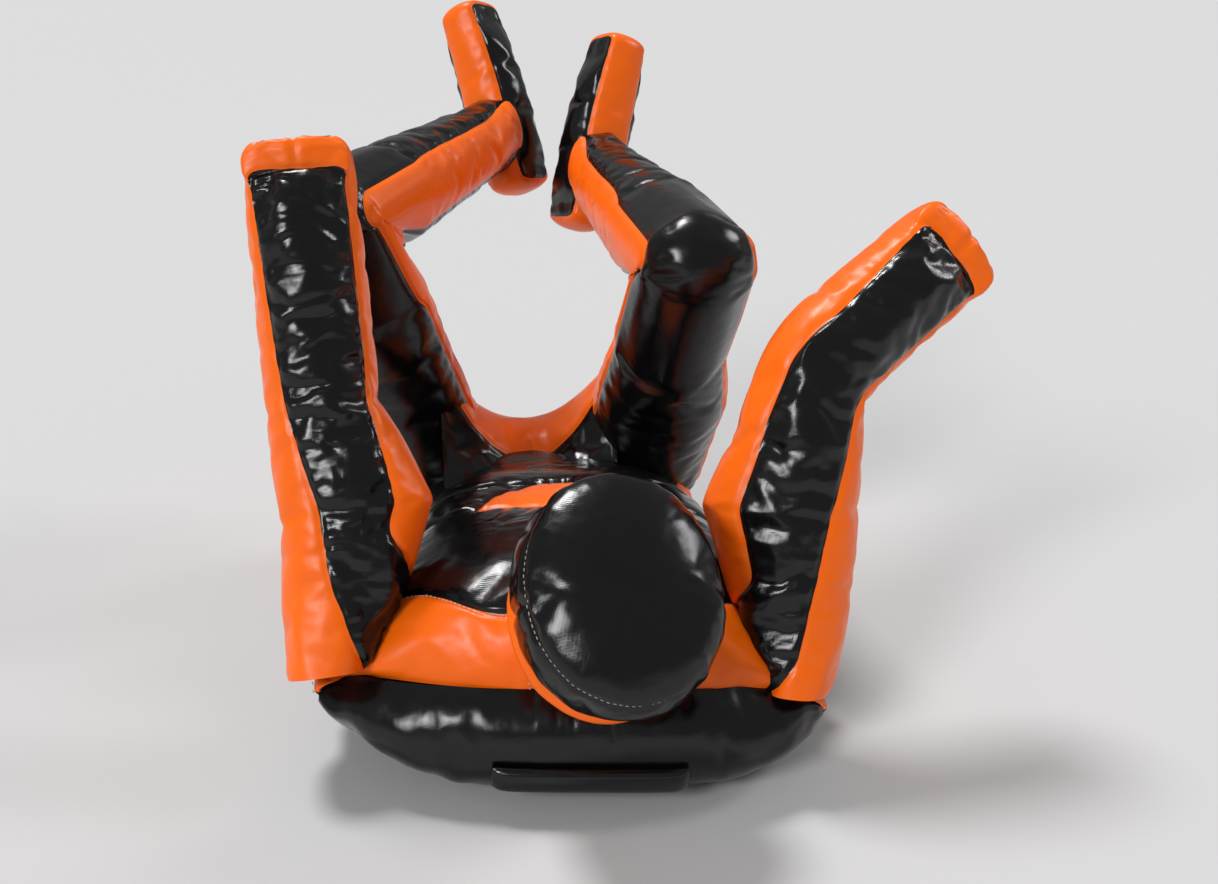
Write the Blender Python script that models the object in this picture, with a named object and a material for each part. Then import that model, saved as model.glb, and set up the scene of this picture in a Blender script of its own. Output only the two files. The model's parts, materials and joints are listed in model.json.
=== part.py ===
"""Grappling dummy: a stuffed figure of coated fabric, lying on its back in a guard pose.

Metres, +Z up. The dummy's head points to -Y, its feet to +Y and its right side to +X.
The origin is the middle of the flat patch of the back that rests on the floor.

Every cover panel is one closed sheet, every filling is one closed solid inside the panels.
"""

import math

import bpy
import numpy as np

# ------------------------------------------------------------------ driving dimensions

SHEET = 0.0022            # thickness of a cover panel
SLACK = 0.0016            # room between a panel and the filling behind it
SEAM_GAP = 0.012          # opening between two neighbouring panels, as an angle in radians
BOXINESS = 2.7            # exponent of the limbs' sections: 2 is round, more is squarer

SHOULDERS = {"left": (-0.256, -0.226, 0.186), "right": (0.226, -0.292, 0.166)}
HIPS = {"left": (-0.136, 0.285, 0.128), "right": (0.132, 0.285, 0.128)}
NECK = (0.006, -0.268, 0.150)

UPPER_ARM = 0.265
FOREARM = 0.258
THIGH = 0.445
SHIN = 0.455
FOOT = 0.290

ARM_WIDTH = 0.074         # half widths, and half depths, of the filled limbs
ARM_DEPTH = 0.070
ARM_ROOT_WIDTH = 0.080
THIGH_WIDTH = 0.090
THIGH_DEPTH = 0.084
KNEE_DEPTH = 0.078
ANKLE_WIDTH = 0.060
ANKLE_DEPTH = 0.056
FOOT_WIDTH = 0.054
FOOT_TURNS = {"left": 36, "right": 22}    # degrees the toes turn outward about the foot's length
INSTEP_REACH = 0.061      # from the foot's middle line to where the shin's cover ends
HIP_BALL = 0.076          # radius of the filling inside the hip
KNEE_FLEX = 22            # degrees the knee can fold further than it does here
KNEE_NARROWER = 0.006     # how much less wide the knee is than the thigh, to each side
CREASE_DEPTH = 0.94       # the crease behind the knee, as a share of the sharp corner's depth
CREASE_GAP = 0.013        # width across the bottom of that crease
YOKE_REACH = {"left": (0.084, 0.172), "right": (0.107, 0.144)}    # from the spine, to either end

# How each limb is posed: degrees outward from the middle plane, and degrees that it leans
# from straight up towards the feet.
POSE = {
    "left": {"upper_arm": (5, 24), "forearm": (3, 17), "thigh": (18, -18), "shin": (-29, 81),
             "foot": (14, 22)},
    "right": {"upper_arm": (6, 17), "forearm": (52, 32), "thigh": (5, -35), "shin": (-8.5, 83),
              "foot": (15, 18)},
}
ARM_FACING = {"left": (0.0, -1, 0), "right": (-0.36, -1, 0)}     # way the arm's top panel faces
SIDES = {"left": -1, "right": 1}

FLANK_HALF = 0.196        # half width of the trunk at its two flank gussets
BACK_CORNER = 0.300       # half width of the back panel at the shoulders
SHOULDER_TURN = 0.13      # slope of the shoulder line from square to the spine

HEAD_LEAN = 42            # degrees the head's axis rises from horizontal
HEAD_TURN = 9             # degrees the head turns to the dummy's right

BLACK = ("black_coated_fabric", (0.012, 0.012, 0.014), 0.28)
ORANGE = ("orange_coated_fabric", (1.0, 0.16, 0.012), 0.33)
FILL = ("shredded_textile_filling", (0.55, 0.52, 0.47), 0.95)
TAPE = ("zip_tape_fabric", (0.02, 0.02, 0.022), 0.7)
METAL = ("zip_metal", (0.55, 0.52, 0.46), 0.35)


# ------------------------------------------------------------------ small helpers

def unit(vector):
    vector = np.asarray(vector, float)
    return vector / np.linalg.norm(vector)


def vec(*xyz):
    return np.array(xyz, float)


def material(look, metallic=0.0):
    name, colour, roughness = look
    found = bpy.data.materials.get(name)
    if found:
        return found
    made = bpy.data.materials.new(name)
    made.use_nodes = True
    shader = made.node_tree.nodes["Principled BSDF"]
    shader.inputs["Base Color"].default_value = (*colour, 1.0)
    shader.inputs["Roughness"].default_value = roughness
    shader.inputs["Metallic"].default_value = metallic
    made.diffuse_color = (*colour, 1.0)
    return made


def add_object(name, points, faces, look, origin=(0, 0, 0), metallic=0.0):
    """A mesh object whose own origin lies at `origin`, given points in world metres."""
    mesh = bpy.data.meshes.new(name)
    origin = np.asarray(origin, float)
    mesh.from_pydata([tuple(p) for p in np.asarray(points) - origin], [], faces)
    mesh.validate()
    mesh.shade_smooth()
    made = bpy.data.objects.new(name, mesh)
    made.location = origin
    mesh.materials.append(material(look, metallic))
    bpy.context.collection.objects.link(made)
    return made


def volume_of(points, faces):
    points = np.asarray(points)
    total = 0.0
    for face in faces:
        for a, b in zip(face[1:-1], face[2:]):
            total += np.dot(points[face[0]], np.cross(points[a], points[b]))
    return total


def facing_out(points, faces):
    return faces if volume_of(points, faces) > 0 else [tuple(reversed(f)) for f in faces]


def sheet(name, outer, inner, look, origin=(0, 0, 0)):
    """One closed body between two grids of points of the same shape (rows, columns, 3)."""
    rows, columns = outer.shape[:2]
    points = np.concatenate([outer.reshape(-1, 3), inner.reshape(-1, 3)])
    shift = rows * columns

    def at(row, column, layer):
        return row * columns + column + layer * shift

    faces = []
    for row in range(rows - 1):
        for column in range(columns - 1):
            corners = [(row, column), (row, column + 1), (row + 1, column + 1), (row + 1, column)]
            faces.append(tuple(at(*c, 0) for c in corners))
            faces.append(tuple(at(*c, 1) for c in reversed(corners)))
    rim = ([(0, c) for c in range(columns)] + [(r, columns - 1) for r in range(1, rows)]
           + [(rows - 1, c) for c in range(columns - 2, -1, -1)]
           + [(r, 0) for r in range(rows - 2, 0, -1)])
    for here, there in zip(rim, rim[1:] + rim[:1]):
        faces.append((at(*there, 0), at(*here, 0), at(*here, 1), at(*there, 1)))
    return add_object(name, points, facing_out(points, faces), look, origin)


def loft(name, rings, look, origin=(0, 0, 0), metallic=0.0):
    """One closed solid through rings of points, its two ends closed by fans."""
    rings = np.asarray(rings)
    count, around = rings.shape[:2]
    points = np.concatenate([rings.reshape(-1, 3), [rings[0].mean(0)], [rings[-1].mean(0)]])
    first, last = count * around, count * around + 1
    faces = []
    for ring in range(count - 1):
        for i in range(around):
            j = (i + 1) % around
            faces.append((ring * around + i, ring * around + j,
                          (ring + 1) * around + j, (ring + 1) * around + i))
    top = (count - 1) * around
    for i in range(around):
        j = (i + 1) % around
        faces.append((j, i, first))
        faces.append((top + i, top + j, last))
    return add_object(name, points, facing_out(points, faces), look, origin, metallic)


# ------------------------------------------------------------------ sections of a limb

class Station:
    """A section across a limb: its middle, half width vector, and depth to either side."""

    def __init__(self, middle, width, outer, inner=None, spread=(0, 0, 0)):
        self.middle = np.asarray(middle, float)
        self.width = np.asarray(width, float)
        self.outer = np.asarray(outer, float)
        self.inner = -self.outer if inner is None else np.asarray(inner, float)
        self.spread = np.asarray(spread, float)    # how the inner side also moves as it shrinks

    def shrunk(self, by):
        def less(v):
            return v * max(0.05, 1 - by / np.linalg.norm(v))
        return Station(self.middle, less(self.width), less(self.outer),
                       less(self.inner) + self.spread * by, self.spread)

    def points(self, angles, boxiness=BOXINESS):
        """Points at angles from the width direction; 90 degrees is the outer side."""
        c, s = np.cos(angles), np.sin(angles)
        across = np.sign(c) * np.abs(c) ** (2 / boxiness)
        deep = np.sign(s) * np.abs(s) ** (2 / boxiness)
        out = np.maximum(deep, 0)[:, None] * self.outer
        into = np.maximum(-deep, 0)[:, None] * self.inner
        return self.middle + across[:, None] * self.width + out + into


def square_to(direction, reference):
    """The unit vector nearest to `reference` that is square to `direction`."""
    direction = unit(direction)
    reference = np.asarray(reference, float)
    return unit(reference - direction * np.dot(reference, direction))


def aim(side, lean):
    """Unit direction of a limb segment from its two pose angles, in degrees."""
    outward, footward = (math.radians(a) for a in lean)
    return vec(SIDES[side] * math.sin(outward),
               math.cos(outward) * math.sin(footward),
               math.cos(outward) * math.cos(footward))


def quarter(middle_degrees, columns=5, reach=45.0):
    """Angles over one of a section's four panels, short of its seams by the seam gap."""
    half = math.radians(reach) - SEAM_GAP
    return math.radians(middle_degrees) + np.linspace(-half, half, columns)


# ------------------------------------------------------------------ arms

def arm_joints(side):
    shoulder = vec(*SHOULDERS[side])
    elbow = shoulder + UPPER_ARM * aim(side, POSE[side]["upper_arm"])
    tip = elbow + FOREARM * aim(side, POSE[side]["forearm"])
    return shoulder, elbow, tip


def bezier(a, b, c, count):
    """Points on a round corner from a to c past b."""
    t = np.linspace(0, 1, count)[:, None]
    return (1 - t) ** 2 * a + 2 * t * (1 - t) * b + t ** 2 * c


def arm_stations(side):
    """Sections from the foot of the arm, on the trunk, to the start of the fingertips."""
    shoulder, elbow, tip = arm_joints(side)
    low = shoulder - 0.060 * aim(side, POSE[side]["upper_arm"])
    upper, fore = unit(elbow - shoulder), unit(tip - elbow)
    bend = 0.055
    line = np.concatenate([np.linspace(low, elbow - bend * upper, 5)[:-1],
                           bezier(elbow - bend * upper, elbow, elbow + bend * fore, 5)[:-1],
                           np.linspace(elbow + bend * fore, tip - 0.016 * fore, 5)])
    travel = np.gradient(line, axis=0)
    share = np.linspace(0, 1, len(line))
    stations = []
    for point, along, t in zip(line, travel, share):
        depth_way = square_to(along, ARM_FACING[side])
        width_way = unit(np.cross(depth_way, along)) * SIDES[side]
        if width_way[0] * SIDES[side] < 0:
            width_way = -width_way
        width = ARM_WIDTH + (ARM_ROOT_WIDTH - ARM_WIDTH) * max(0, 1 - 3 * t) ** 2 - 0.006 * t
        depth = ARM_DEPTH - 0.004 * t
        stations.append(Station(point, width * width_way, depth * depth_way))
    return stations


def fingertip_rows(station, along, height, angles, kind):
    """Rows that carry a panel over the tip of the hand; kind is side or face."""
    rows = []
    corner = abs(math.sin(math.radians(45))) ** (2 / BOXINESS)
    base = station.points(angles)
    offset = base - station.middle
    width_unit = unit(station.width)
    across = offset @ width_unit
    if kind == "side":
        for turn in (30, 60, 80, 88):
            turn = math.radians(turn)
            moved = base - np.outer(across * (1 - math.cos(turn)), width_unit)
            rows.append(moved + along * height * math.sin(turn))
        return rows
    half = np.linalg.norm(station.width) * corner
    rise = np.sqrt(np.clip(1 - (across / half) ** 2, 0, 1)) * height
    depth_unit = unit(station.outer)
    deep = offset @ depth_unit
    edge = np.sign(deep) * np.linalg.norm(station.outer) * (corner + 0.012)
    for share in (0.6, 1.0):
        moved = base + np.outer((edge - deep) * share ** 2, depth_unit)
        rows.append(moved + np.outer(rise * share, along))
    return rows


def arm_panel(side, label, middle, look, kind):
    """One full-length panel of an arm, from its foot to over the fingertips."""
    angles = quarter(middle)
    stations = arm_stations(side)
    _, elbow, tip = arm_joints(side)
    along = unit(tip - elbow)
    grids = []
    for depth in (0.0, SHEET):
        rows = [s.shrunk(depth).points(angles) for s in stations]
        rows += fingertip_rows(stations[-1].shrunk(depth), along, 0.016 - depth, angles, kind)
        grids.append(np.array(rows))
    return sheet(f"{side}_arm_{label}_panel", grids[0], grids[1], look, arm_joints(side)[0])


def around(count=16):
    return np.linspace(0, 2 * math.pi, count, endpoint=False)


def capped_rings(start, end, width, depth, width_way, depth_way, round_start, round_end,
                 count=16):
    """Rings of a filling from start to end: each end is round, or cut flat."""
    along = unit(end - start)
    length = np.linalg.norm(end - start)
    angles = around(count)
    rings = []
    steps = [math.radians(a) for a in (80, 52, 26)]
    if round_start:
        for turn in steps:
            station = Station(start - along * depth[0] * math.sin(turn),
                              width_way * width[0] * math.cos(turn),
                              depth_way * depth[0] * math.cos(turn))
            rings.append(station.points(angles, 2.2))
    for share in (0.0, 0.25, 0.5, 0.75, 1.0):
        w = width[0] + (width[1] - width[0]) * share
        d = depth[0] + (depth[1] - depth[0]) * share
        station = Station(start + along * length * share, width_way * w, depth_way * d)
        rings.append(station.points(angles, 2.3))
    if round_end:
        for turn in reversed(steps):
            station = Station(end + along * depth[1] * math.sin(turn),
                              width_way * width[1] * math.cos(turn),
                              depth_way * depth[1] * math.cos(turn))
            rings.append(station.points(angles, 2.2))
    return rings


def frame_of(along, reference=(0, -1, 0)):
    depth_way = square_to(along, reference)
    return unit(np.cross(depth_way, along)), depth_way


def arm_fillings(side):
    shoulder, elbow, tip = arm_joints(side)
    upper, fore = unit(elbow - shoulder), unit(tip - elbow)
    room = SHEET + SLACK + 0.004
    width_way, depth_way = frame_of(upper)
    ball = ARM_DEPTH - room - 0.006
    rings = capped_rings(shoulder, elbow, (ball, ball - 0.004), (ball, ball - 0.004),
                         width_way, depth_way, True, True)
    loft(f"{side}_upper_arm_filling", rings, FILL, shoulder)
    width_way, depth_way = frame_of(fore)
    start = elbow + fore * (ball + 0.012)
    rings = capped_rings(start, tip - fore * 0.060, (ball - 0.004, ball - 0.006),
                         (ball - 0.006, ball - 0.008), width_way, depth_way, False, True)
    loft(f"{side}_forearm_filling", rings, FILL, elbow)


def build_arm(side):
    arm_panel(side, "top", 90, BLACK, "face")
    arm_panel(side, "under", 270, BLACK, "face")
    arm_panel(side, "outer", 0, ORANGE, "side")
    arm_panel(side, "inner", 180, ORANGE, "side")
    arm_fillings(side)


# ------------------------------------------------------------------ legs

def leg_joints(side):
    hip = vec(*HIPS[side])
    knee = hip + THIGH * aim(side, POSE[side]["thigh"])
    ankle = knee + SHIN * aim(side, POSE[side]["shin"])
    return hip, knee, ankle


def leg_stations(side):
    """Sections of a leg's cover, turning about the knee with a crease behind it."""
    hip, knee, ankle = leg_joints(side)
    thigh, shin = unit(knee - hip), unit(ankle - knee)
    width_way = unit(np.cross(thigh, shin))
    if width_way[0] * SIDES[side] < 0:
        width_way = -width_way
    front_thigh = square_to(thigh, -shin)
    front_shin = square_to(shin, thigh)
    turn = math.acos(np.clip(np.dot(thigh, shin), -1, 1))
    crease = KNEE_DEPTH / math.cos(turn / 2)
    inward = unit(-(front_thigh + front_shin))
    slide = unit(shin + thigh)
    stations = []
    reach = KNEE_DEPTH * math.tan(turn / 2)
    for share in np.linspace(0, 1, 5):
        point = hip + thigh * (0.035 + share * (THIGH - reach - 0.050))
        depth = THIGH_DEPTH + (KNEE_DEPTH - THIGH_DEPTH) * share
        width = THIGH_WIDTH - KNEE_NARROWER * share
        stations.append(Station(point, width * width_way, depth * front_thigh))
    for share in np.linspace(0, 1, 6):
        angle = turn * share
        front = front_thigh * math.cos(angle) + thigh * math.sin(angle)
        inner = inward * crease * CREASE_DEPTH + slide * (share - 0.5) * CREASE_GAP
        stations.append(Station(knee, (THIGH_WIDTH - KNEE_NARROWER) * width_way,
                                KNEE_DEPTH * unit(front), inner, slide * (share - 0.5) * 2.4))
    end = shin_end(side)
    for share in np.linspace(0, 1, 5):
        point = knee + shin * (reach + 0.020 + share * (end - 0.055 - reach - 0.020))
        depth = KNEE_DEPTH + (ANKLE_DEPTH - KNEE_DEPTH) * share ** 0.8
        wide = THIGH_WIDTH - KNEE_NARROWER
        width = wide + (ANKLE_WIDTH - wide) * share ** 0.8
        stations.append(Station(point, width * width_way, depth * front_shin))
    _, toeward, _, sideways = foot_frame(side)
    slant = ANKLE_DEPTH / max(0.75, abs(np.dot(toeward, front_shin)))
    stations.append(Station(knee + shin * end, ANKLE_WIDTH * sideways, slant * toeward))
    return stations


def shin_end(side):
    """Distance from the knee at which the shin's cover meets the instep of the foot."""
    _, knee, ankle = leg_joints(side)
    heel, _, soleward, _ = foot_frame(side)
    shin = unit(ankle - knee)
    return np.dot(heel - soleward * INSTEP_REACH - knee, soleward) / np.dot(shin, soleward)


def leg_panel(side, label, middle, look):
    angles = quarter(middle)
    stations = leg_stations(side)
    grids = [np.array([s.shrunk(depth).points(angles) for s in stations])
             for depth in (0.0, SHEET)]
    return sheet(f"{side}_leg_{label}_panel", grids[0], grids[1], look, leg_joints(side)[0])


def leg_fillings(side):
    hip, knee, ankle = leg_joints(side)
    thigh, shin = unit(knee - hip), unit(ankle - knee)
    room = SHEET + SLACK + 0.004
    turn = math.acos(np.clip(np.dot(thigh, shin), -1, 1))
    flex = math.radians(KNEE_FLEX)
    half_angle = (math.pi - turn - flex) / 2
    ball = KNEE_DEPTH - room
    front = square_to(thigh, -shin)
    width_way = unit(np.cross(front, thigh))
    angles = around(18)
    rings = []
    for degrees in (80, 52, 26):
        a = math.radians(degrees)
        rings.append(Station(hip - thigh * HIP_BALL * math.sin(a), width_way * HIP_BALL * math.cos(a),
                             front * HIP_BALL * math.cos(a)).points(angles, 2.2))
    for share in np.linspace(0, 1, 7):
        s = (1 - share) * THIGH
        full = HIP_BALL + (ball - HIP_BALL) * share
        inner = max(min(full, s * math.tan(half_angle)), 0.03)
        rings.append(Station(knee - thigh * s, width_way * full, front * full,
                             -front * inner).points(angles, 2.3))
    for degrees in (26, 52, 80):
        a = math.radians(degrees)
        inner = 0.03 * math.cos(a)
        rings.append(Station(knee + thigh * ball * math.sin(a), width_way * ball * math.cos(a),
                             front * ball * math.cos(a), -front * inner).points(angles, 2.2))
    loft(f"{side}_thigh_filling", rings, FILL, hip)

    front = square_to(shin, thigh)
    width_way = unit(np.cross(front, shin))
    rings = []
    start = ball + 0.016
    stop = shin_end(side) - 0.060
    thin = ANKLE_DEPTH - room
    for share in np.linspace(0, 1, 7):
        s = start + (stop - start) * share
        full = (ball - 0.003) + (thin - ball + 0.003) * share
        inner = min(full, s * math.tan(half_angle))
        rings.append(Station(knee + shin * s, width_way * full, front * full,
                             -front * inner).points(angles, 2.3))
    for degrees in (30, 58, 80):
        a = math.radians(degrees)
        rings.append(Station(knee + shin * (stop + thin * 0.55 * math.sin(a)),
                             width_way * thin * math.cos(a),
                             front * thin * math.cos(a)).points(angles, 2.2))
    loft(f"{side}_shin_filling", rings, FILL, knee)


def build_leg(side):
    leg_panel(side, "front", 90, BLACK)
    leg_panel(side, "back", 270, BLACK)
    leg_panel(side, "outer", 0, ORANGE)
    leg_panel(side, "inner", 180, ORANGE)
    leg_fillings(side)


# ------------------------------------------------------------------ feet

def foot_frame(side):
    """Heel, direction of the foot and the two directions square to it."""
    _, knee, ankle = leg_joints(side)
    shin = unit(ankle - knee)
    toeward = aim(side, POSE[side]["foot"])
    turn = math.radians(FOOT_TURNS[side]) * SIDES[side]
    soleward = square_to(toeward, (-math.sin(turn), math.cos(turn), 0))
    sideways = unit(np.cross(toeward, soleward))
    if sideways[0] * SIDES[side] < 0:
        sideways = -sideways
    heel = ankle + soleward * 0.030 - toeward * 0.085
    return heel, toeward, soleward, sideways


def foot_stations(side):
    """Sections from heel to toe; the outer side of a section is the instep."""
    heel, toeward, soleward, sideways = foot_frame(side)
    stations = []
    for share in np.linspace(0.06, 0.93, 9):
        ankle_rise = math.exp(-((share - 0.24) / 0.20) ** 2)
        instep = 0.046 + 0.008 * ankle_rise
        sole = 0.050 - 0.006 * share
        width = FOOT_WIDTH * (0.86 + 0.16 * math.sin(math.pi * share ** 0.8))
        stations.append(Station(heel + toeward * FOOT * share, sideways * width,
                                -soleward * instep, soleward * sole))
    return stations


def foot_strip(side, depth):
    """Rows of the strip: down the instep, over the toe, along the sole and over the heel."""
    stations = [s.shrunk(depth) for s in foot_stations(side)]
    _, toeward, _, _ = foot_frame(side)
    instep_angles, sole_angles = quarter(90, 5), quarter(270, 5)[::-1]
    opening = 4
    rows = [s.points(instep_angles) for s in stations[opening:]]

    def over(station, first, last, way):
        start, end = station.points(first), station.points(last)
        for turn in (30, 62, 90, 118, 150):
            a = math.radians(turn)
            middle = (start + end) / 2
            rows.append(middle + (start - middle) * math.cos(a)
                        + way * (0.020 - depth) * math.sin(a))

    over(stations[-1], instep_angles, sole_angles, toeward)
    rows += [s.points(sole_angles) for s in reversed(stations)]
    over(stations[0], sole_angles, instep_angles, -toeward)
    rows.append(stations[0].points(instep_angles))
    return np.array(rows)


def build_foot(side):
    ankle = leg_joints(side)[2]
    sheet(f"{side}_foot_strip_panel", foot_strip(side, 0.0), foot_strip(side, SHEET), ORANGE, ankle)
    stations = foot_stations(side)
    for label, middle in (("outer_side", 0), ("inner_side", 180)):
        grids = []
        for depth in (0.0, SHEET):
            angles = quarter(middle, 5)
            grids.append(np.array([s.shrunk(depth).points(angles) for s in stations]))
        sheet(f"{side}_foot_{label}_panel", grids[0], grids[1], BLACK, ankle)
    room = SHEET + SLACK
    rings = [s.shrunk(room).points(around(14)) for s in stations[1:]]
    loft(f"{side}_foot_filling", rings, FILL, ankle)


# ------------------------------------------------------------------ trunk

def ramp(value, start, end):
    """0 before start, 1 after end, with a smooth rise between them."""
    t = np.clip((value - start) / (end - start), 0, 1)
    return t * t * (3 - 2 * t)


def twisted(points):
    """The soft trunk lies with its shoulder line turned: the right side is further out."""
    points = np.array(points, float)
    share = ramp(points[..., 1], 0.02, -0.22)
    points[..., 1] -= points[..., 0] * SHOULDER_TURN * share
    return points


def outline(values, at):
    """Linear run through (place, value) pairs."""
    places, heights = zip(*values)
    return np.interp(at, places, heights)


# The back's middle profile, from its seam at the neck, under the trunk, to the crotch: (y, z).
BACK_PROFILE = [(-0.350, 0.128), (-0.377, 0.104), (-0.388, 0.070), (-0.380, 0.035),
                (-0.350, 0.009), (-0.305, 0.0), (-0.20, 0.0), (-0.095, 0.0), (0.0, 0.0),
                (0.095, 0.0), (0.19, 0.0), (0.275, 0.0), (0.325, 0.011), (0.358, 0.040),
                (0.372, 0.080), (0.370, 0.116)]
BACK_WIDTHS = [(-0.39, BACK_CORNER), (-0.20, BACK_CORNER), (-0.06, 0.232), (0.05, 0.208),
               (0.20, 0.212), (0.30, 0.222), (0.372, 0.160)]
FLAT_SHARE = 0.24         # middle share of the back's width that lies flat on the floor


def back_surface(row, share):
    """A point of the back: row is an index along the profile, share runs -1 to 1 across."""
    places = np.arange(len(BACK_PROFILE))
    y = float(np.interp(row, places, [p[0] for p in BACK_PROFILE]))
    z = float(np.interp(row, places, [p[1] for p in BACK_PROFILE]))
    half = float(outline(BACK_WIDTHS, y))
    out = max(0.0, (abs(share) - FLAT_SHARE) / (1 - FLAT_SHARE))
    front = float(ramp(y, -0.16, -0.30))
    side = 1 if share > 0 else -1
    edge = 0.074 - 0.012 * front + 0.22 * front * z - 0.012 * front * side
    z += (edge - z) * out ** 3 if z < edge or front > 0 else 0
    y += 0.095 * front * abs(share) ** 3.5
    lean = 1.0 if share < 0 else 1 - 0.09 * front
    return vec(share * half * lean, y, z)


def back_grid(rows, shares, proud=0.0):
    """Points of the back between rows and shares, moved outward by `proud`."""
    def point(row, share):
        return twisted(back_surface(row, share))
    grid = np.array([[point(r, s) for s in shares] for r in rows])
    if proud == 0.0:
        return grid
    moved = np.empty_like(grid)
    for i, row in enumerate(rows):
        for j, share in enumerate(shares):
            low, high = max(row - 0.25, 0), min(row + 0.25, len(BACK_PROFILE) - 1)
            left, right = max(share - 0.02, -1), min(share + 0.02, 1)
            normal = np.cross(point(high, share) - point(low, share),
                              point(row, right) - point(row, left))
            moved[i, j] = grid[i, j] + unit(normal) * proud
    return moved


def top_sheet(name, profile, widths, fall, look, columns=9):
    """A panel on the trunk's upper side from a (y, z) profile and half widths along y."""
    shares = np.linspace(-1, 1, columns)
    outer = []
    for y, z in profile:
        half = float(outline(widths, y))
        outer.append([(half * s, y, z - fall * abs(s) ** 3) for s in shares])
    outer = twisted(outer)
    inner = outer - vec(0, 0, SHEET)
    return sheet(name, outer, inner, look)


def trunk_filling():
    """Sections along the trunk: (y, half width, lowest, highest)."""
    sections = [(-0.318, 0.095, 0.075, 0.150), (-0.304, 0.112, 0.045, 0.178),
                (-0.270, 0.120, 0.022, 0.204), (-0.200, 0.128, 0.010, 0.222),
                (-0.130, 0.148, 0.010, 0.226), (-0.090, 0.176, 0.010, 0.224),
                (0.000, 0.180, 0.010, 0.214), (0.060, 0.180, 0.010, 0.200),
                (0.100, 0.180, 0.010, 0.178), (0.140, 0.178, 0.012, 0.142),
                (0.172, 0.170, 0.018, 0.112), (0.188, 0.150, 0.030, 0.092)]
    rings = []
    for y, half, low, high in sections:
        middle = vec(0, y, (low + high) / 2)
        station = Station(middle, vec(half, 0, 0), vec(0, 0, (high - low) / 2))
        rings.append(twisted(station.points(around(20), 2.8)))
    loft("trunk_filling", rings, FILL)


def build_trunk():
    rows = np.arange(len(BACK_PROFILE))
    shares = np.concatenate([np.linspace(-1, -FLAT_SHARE, 6), [0.0], np.linspace(FLAT_SHARE, 1, 6)])
    sheet("back_panel", back_grid(rows, shares), back_grid(rows, shares, -SHEET), BLACK)
    widths = [(-0.32, 0.134), (-0.20, 0.140), (-0.14, 0.156), (-0.09, 0.188), (0.06, 0.190),
              (0.12, 0.186)]
    top_sheet("chest_panel", [(-0.314, 0.196), (-0.295, 0.214), (-0.25, 0.230), (-0.18, 0.238),
                              (-0.104, 0.238)], widths, 0.030, BLACK)
    belly = ((-0.100, 0.238), (-0.055, 0.235), (-0.008, 0.229))
    top_sheet("abdomen_panel", belly, [(-0.1, 0.100), (0.05, 0.100)], 0.004, ORANGE)
    for side, sign in SIDES.items():
        outer = [[(sign * x, y, z - 0.004 - 0.026 * ((x - 0.101) / 0.089) ** 2)
                  for x in np.linspace(0.102, 0.188, 5)]
                 for y, z in belly]
        outer = twisted(outer)
        sheet(f"{side}_waist_panel", outer, outer - vec(0, 0, SHEET), BLACK)
    top_sheet("pelvis_panel", [(-0.004, 0.228), (0.05, 0.215), (0.09, 0.204), (0.112, 0.194)],
              widths, 0.030, BLACK)
    for side, sign in SIDES.items():
        outer = []
        for y in (-0.128, -0.08, 0.0, 0.07, 0.118):
            half = FLANK_HALF + 0.002
            top = float(outline([(-0.128, 0.196), (0.0, 0.190), (0.118, 0.156)], y))
            outer.append([(sign * (half + bulge), y, z) for z, bulge in
                          ((0.098, 0.0), ((0.098 + top) / 2, 0.006), (top, 0.0))])
        outer = twisted(outer)
        sheet(f"{side}_flank_gusset", outer, outer - vec(sign * SHEET, 0, 0), ORANGE)
        outer = []
        for z, y in ((0.134, -0.349), (0.160, -0.347), (0.188, -0.332)):
            outer.append([(sign * x, y + 0.095 * (x / BACK_CORNER) ** 3.5, z)
                          for x in np.linspace(*YOKE_REACH[side], 5)])
        outer = twisted(outer)
        sheet(f"{side}_shoulder_yoke", outer, outer + vec(0, SHEET, 0), ORANGE)
    top_sheet("crotch_gusset", [(0.117, 0.170), (0.20, 0.176), (0.28, 0.194), (0.32, 0.198),
                                (0.350, 0.186), (0.366, 0.160)],
              [(0.1, 0.034), (0.37, 0.034)], 0.002, ORANGE, columns=5)
    trunk_filling()


# ------------------------------------------------------------------ closure on the back

def build_closure():
    """Zip with its cover flap, on the lower front of the back."""
    wide = np.linspace(-0.30, 0.30, 9)
    tape_rows = (2.55, 2.75, 2.95)
    tape = [back_grid(tape_rows, wide, proud) for proud in (0.0016, 0.0006)]
    sheet("zip_tape", tape[0], tape[1], TAPE)
    here = back_grid([2.75], [-0.26])[0, 0]
    there = back_grid([2.75], [0.26])[0, 0]
    along = unit(there - here)
    out = unit(back_grid([2.75], [-0.26], 0.01)[0, 0] - here)
    up = unit(np.cross(out, along))
    middle = here + out * 0.0052
    for name, offset, half, thick, look, metal in (
            ("zip_slider", 0.0, (0.0045, 0.0060), 0.0018, METAL, 1.0),
            ("zip_pull_tab", 0.0175, (0.0030, 0.0100), 0.0008, METAL, 1.0)):
        rings = [Station(middle + along * offset + out * lift, along * half[1] * less,
                         up * half[0] * less).points(around(12), 4)
                 for lift, less in ((-thick, 0.9), (-thick * 0.6, 1), (thick * 0.6, 1), (thick, 0.9))]
        loft(name, rings, look, middle, metal)
    flap_rows = (2.02, 2.3, 2.6, 2.9, 3.15)
    flap = [back_grid(flap_rows, np.linspace(-0.36, 0.36, 11), proud) for proud in (0.0105, 0.0085)]
    sheet("closure_flap", flap[0], flap[1], BLACK, flap[1][0, 5])


# ------------------------------------------------------------------ head

def head_axis():
    rise, turn = math.radians(HEAD_LEAN), math.radians(HEAD_TURN)
    return vec(math.cos(rise) * math.sin(turn), -math.cos(rise) * math.cos(turn), math.sin(rise))


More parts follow.
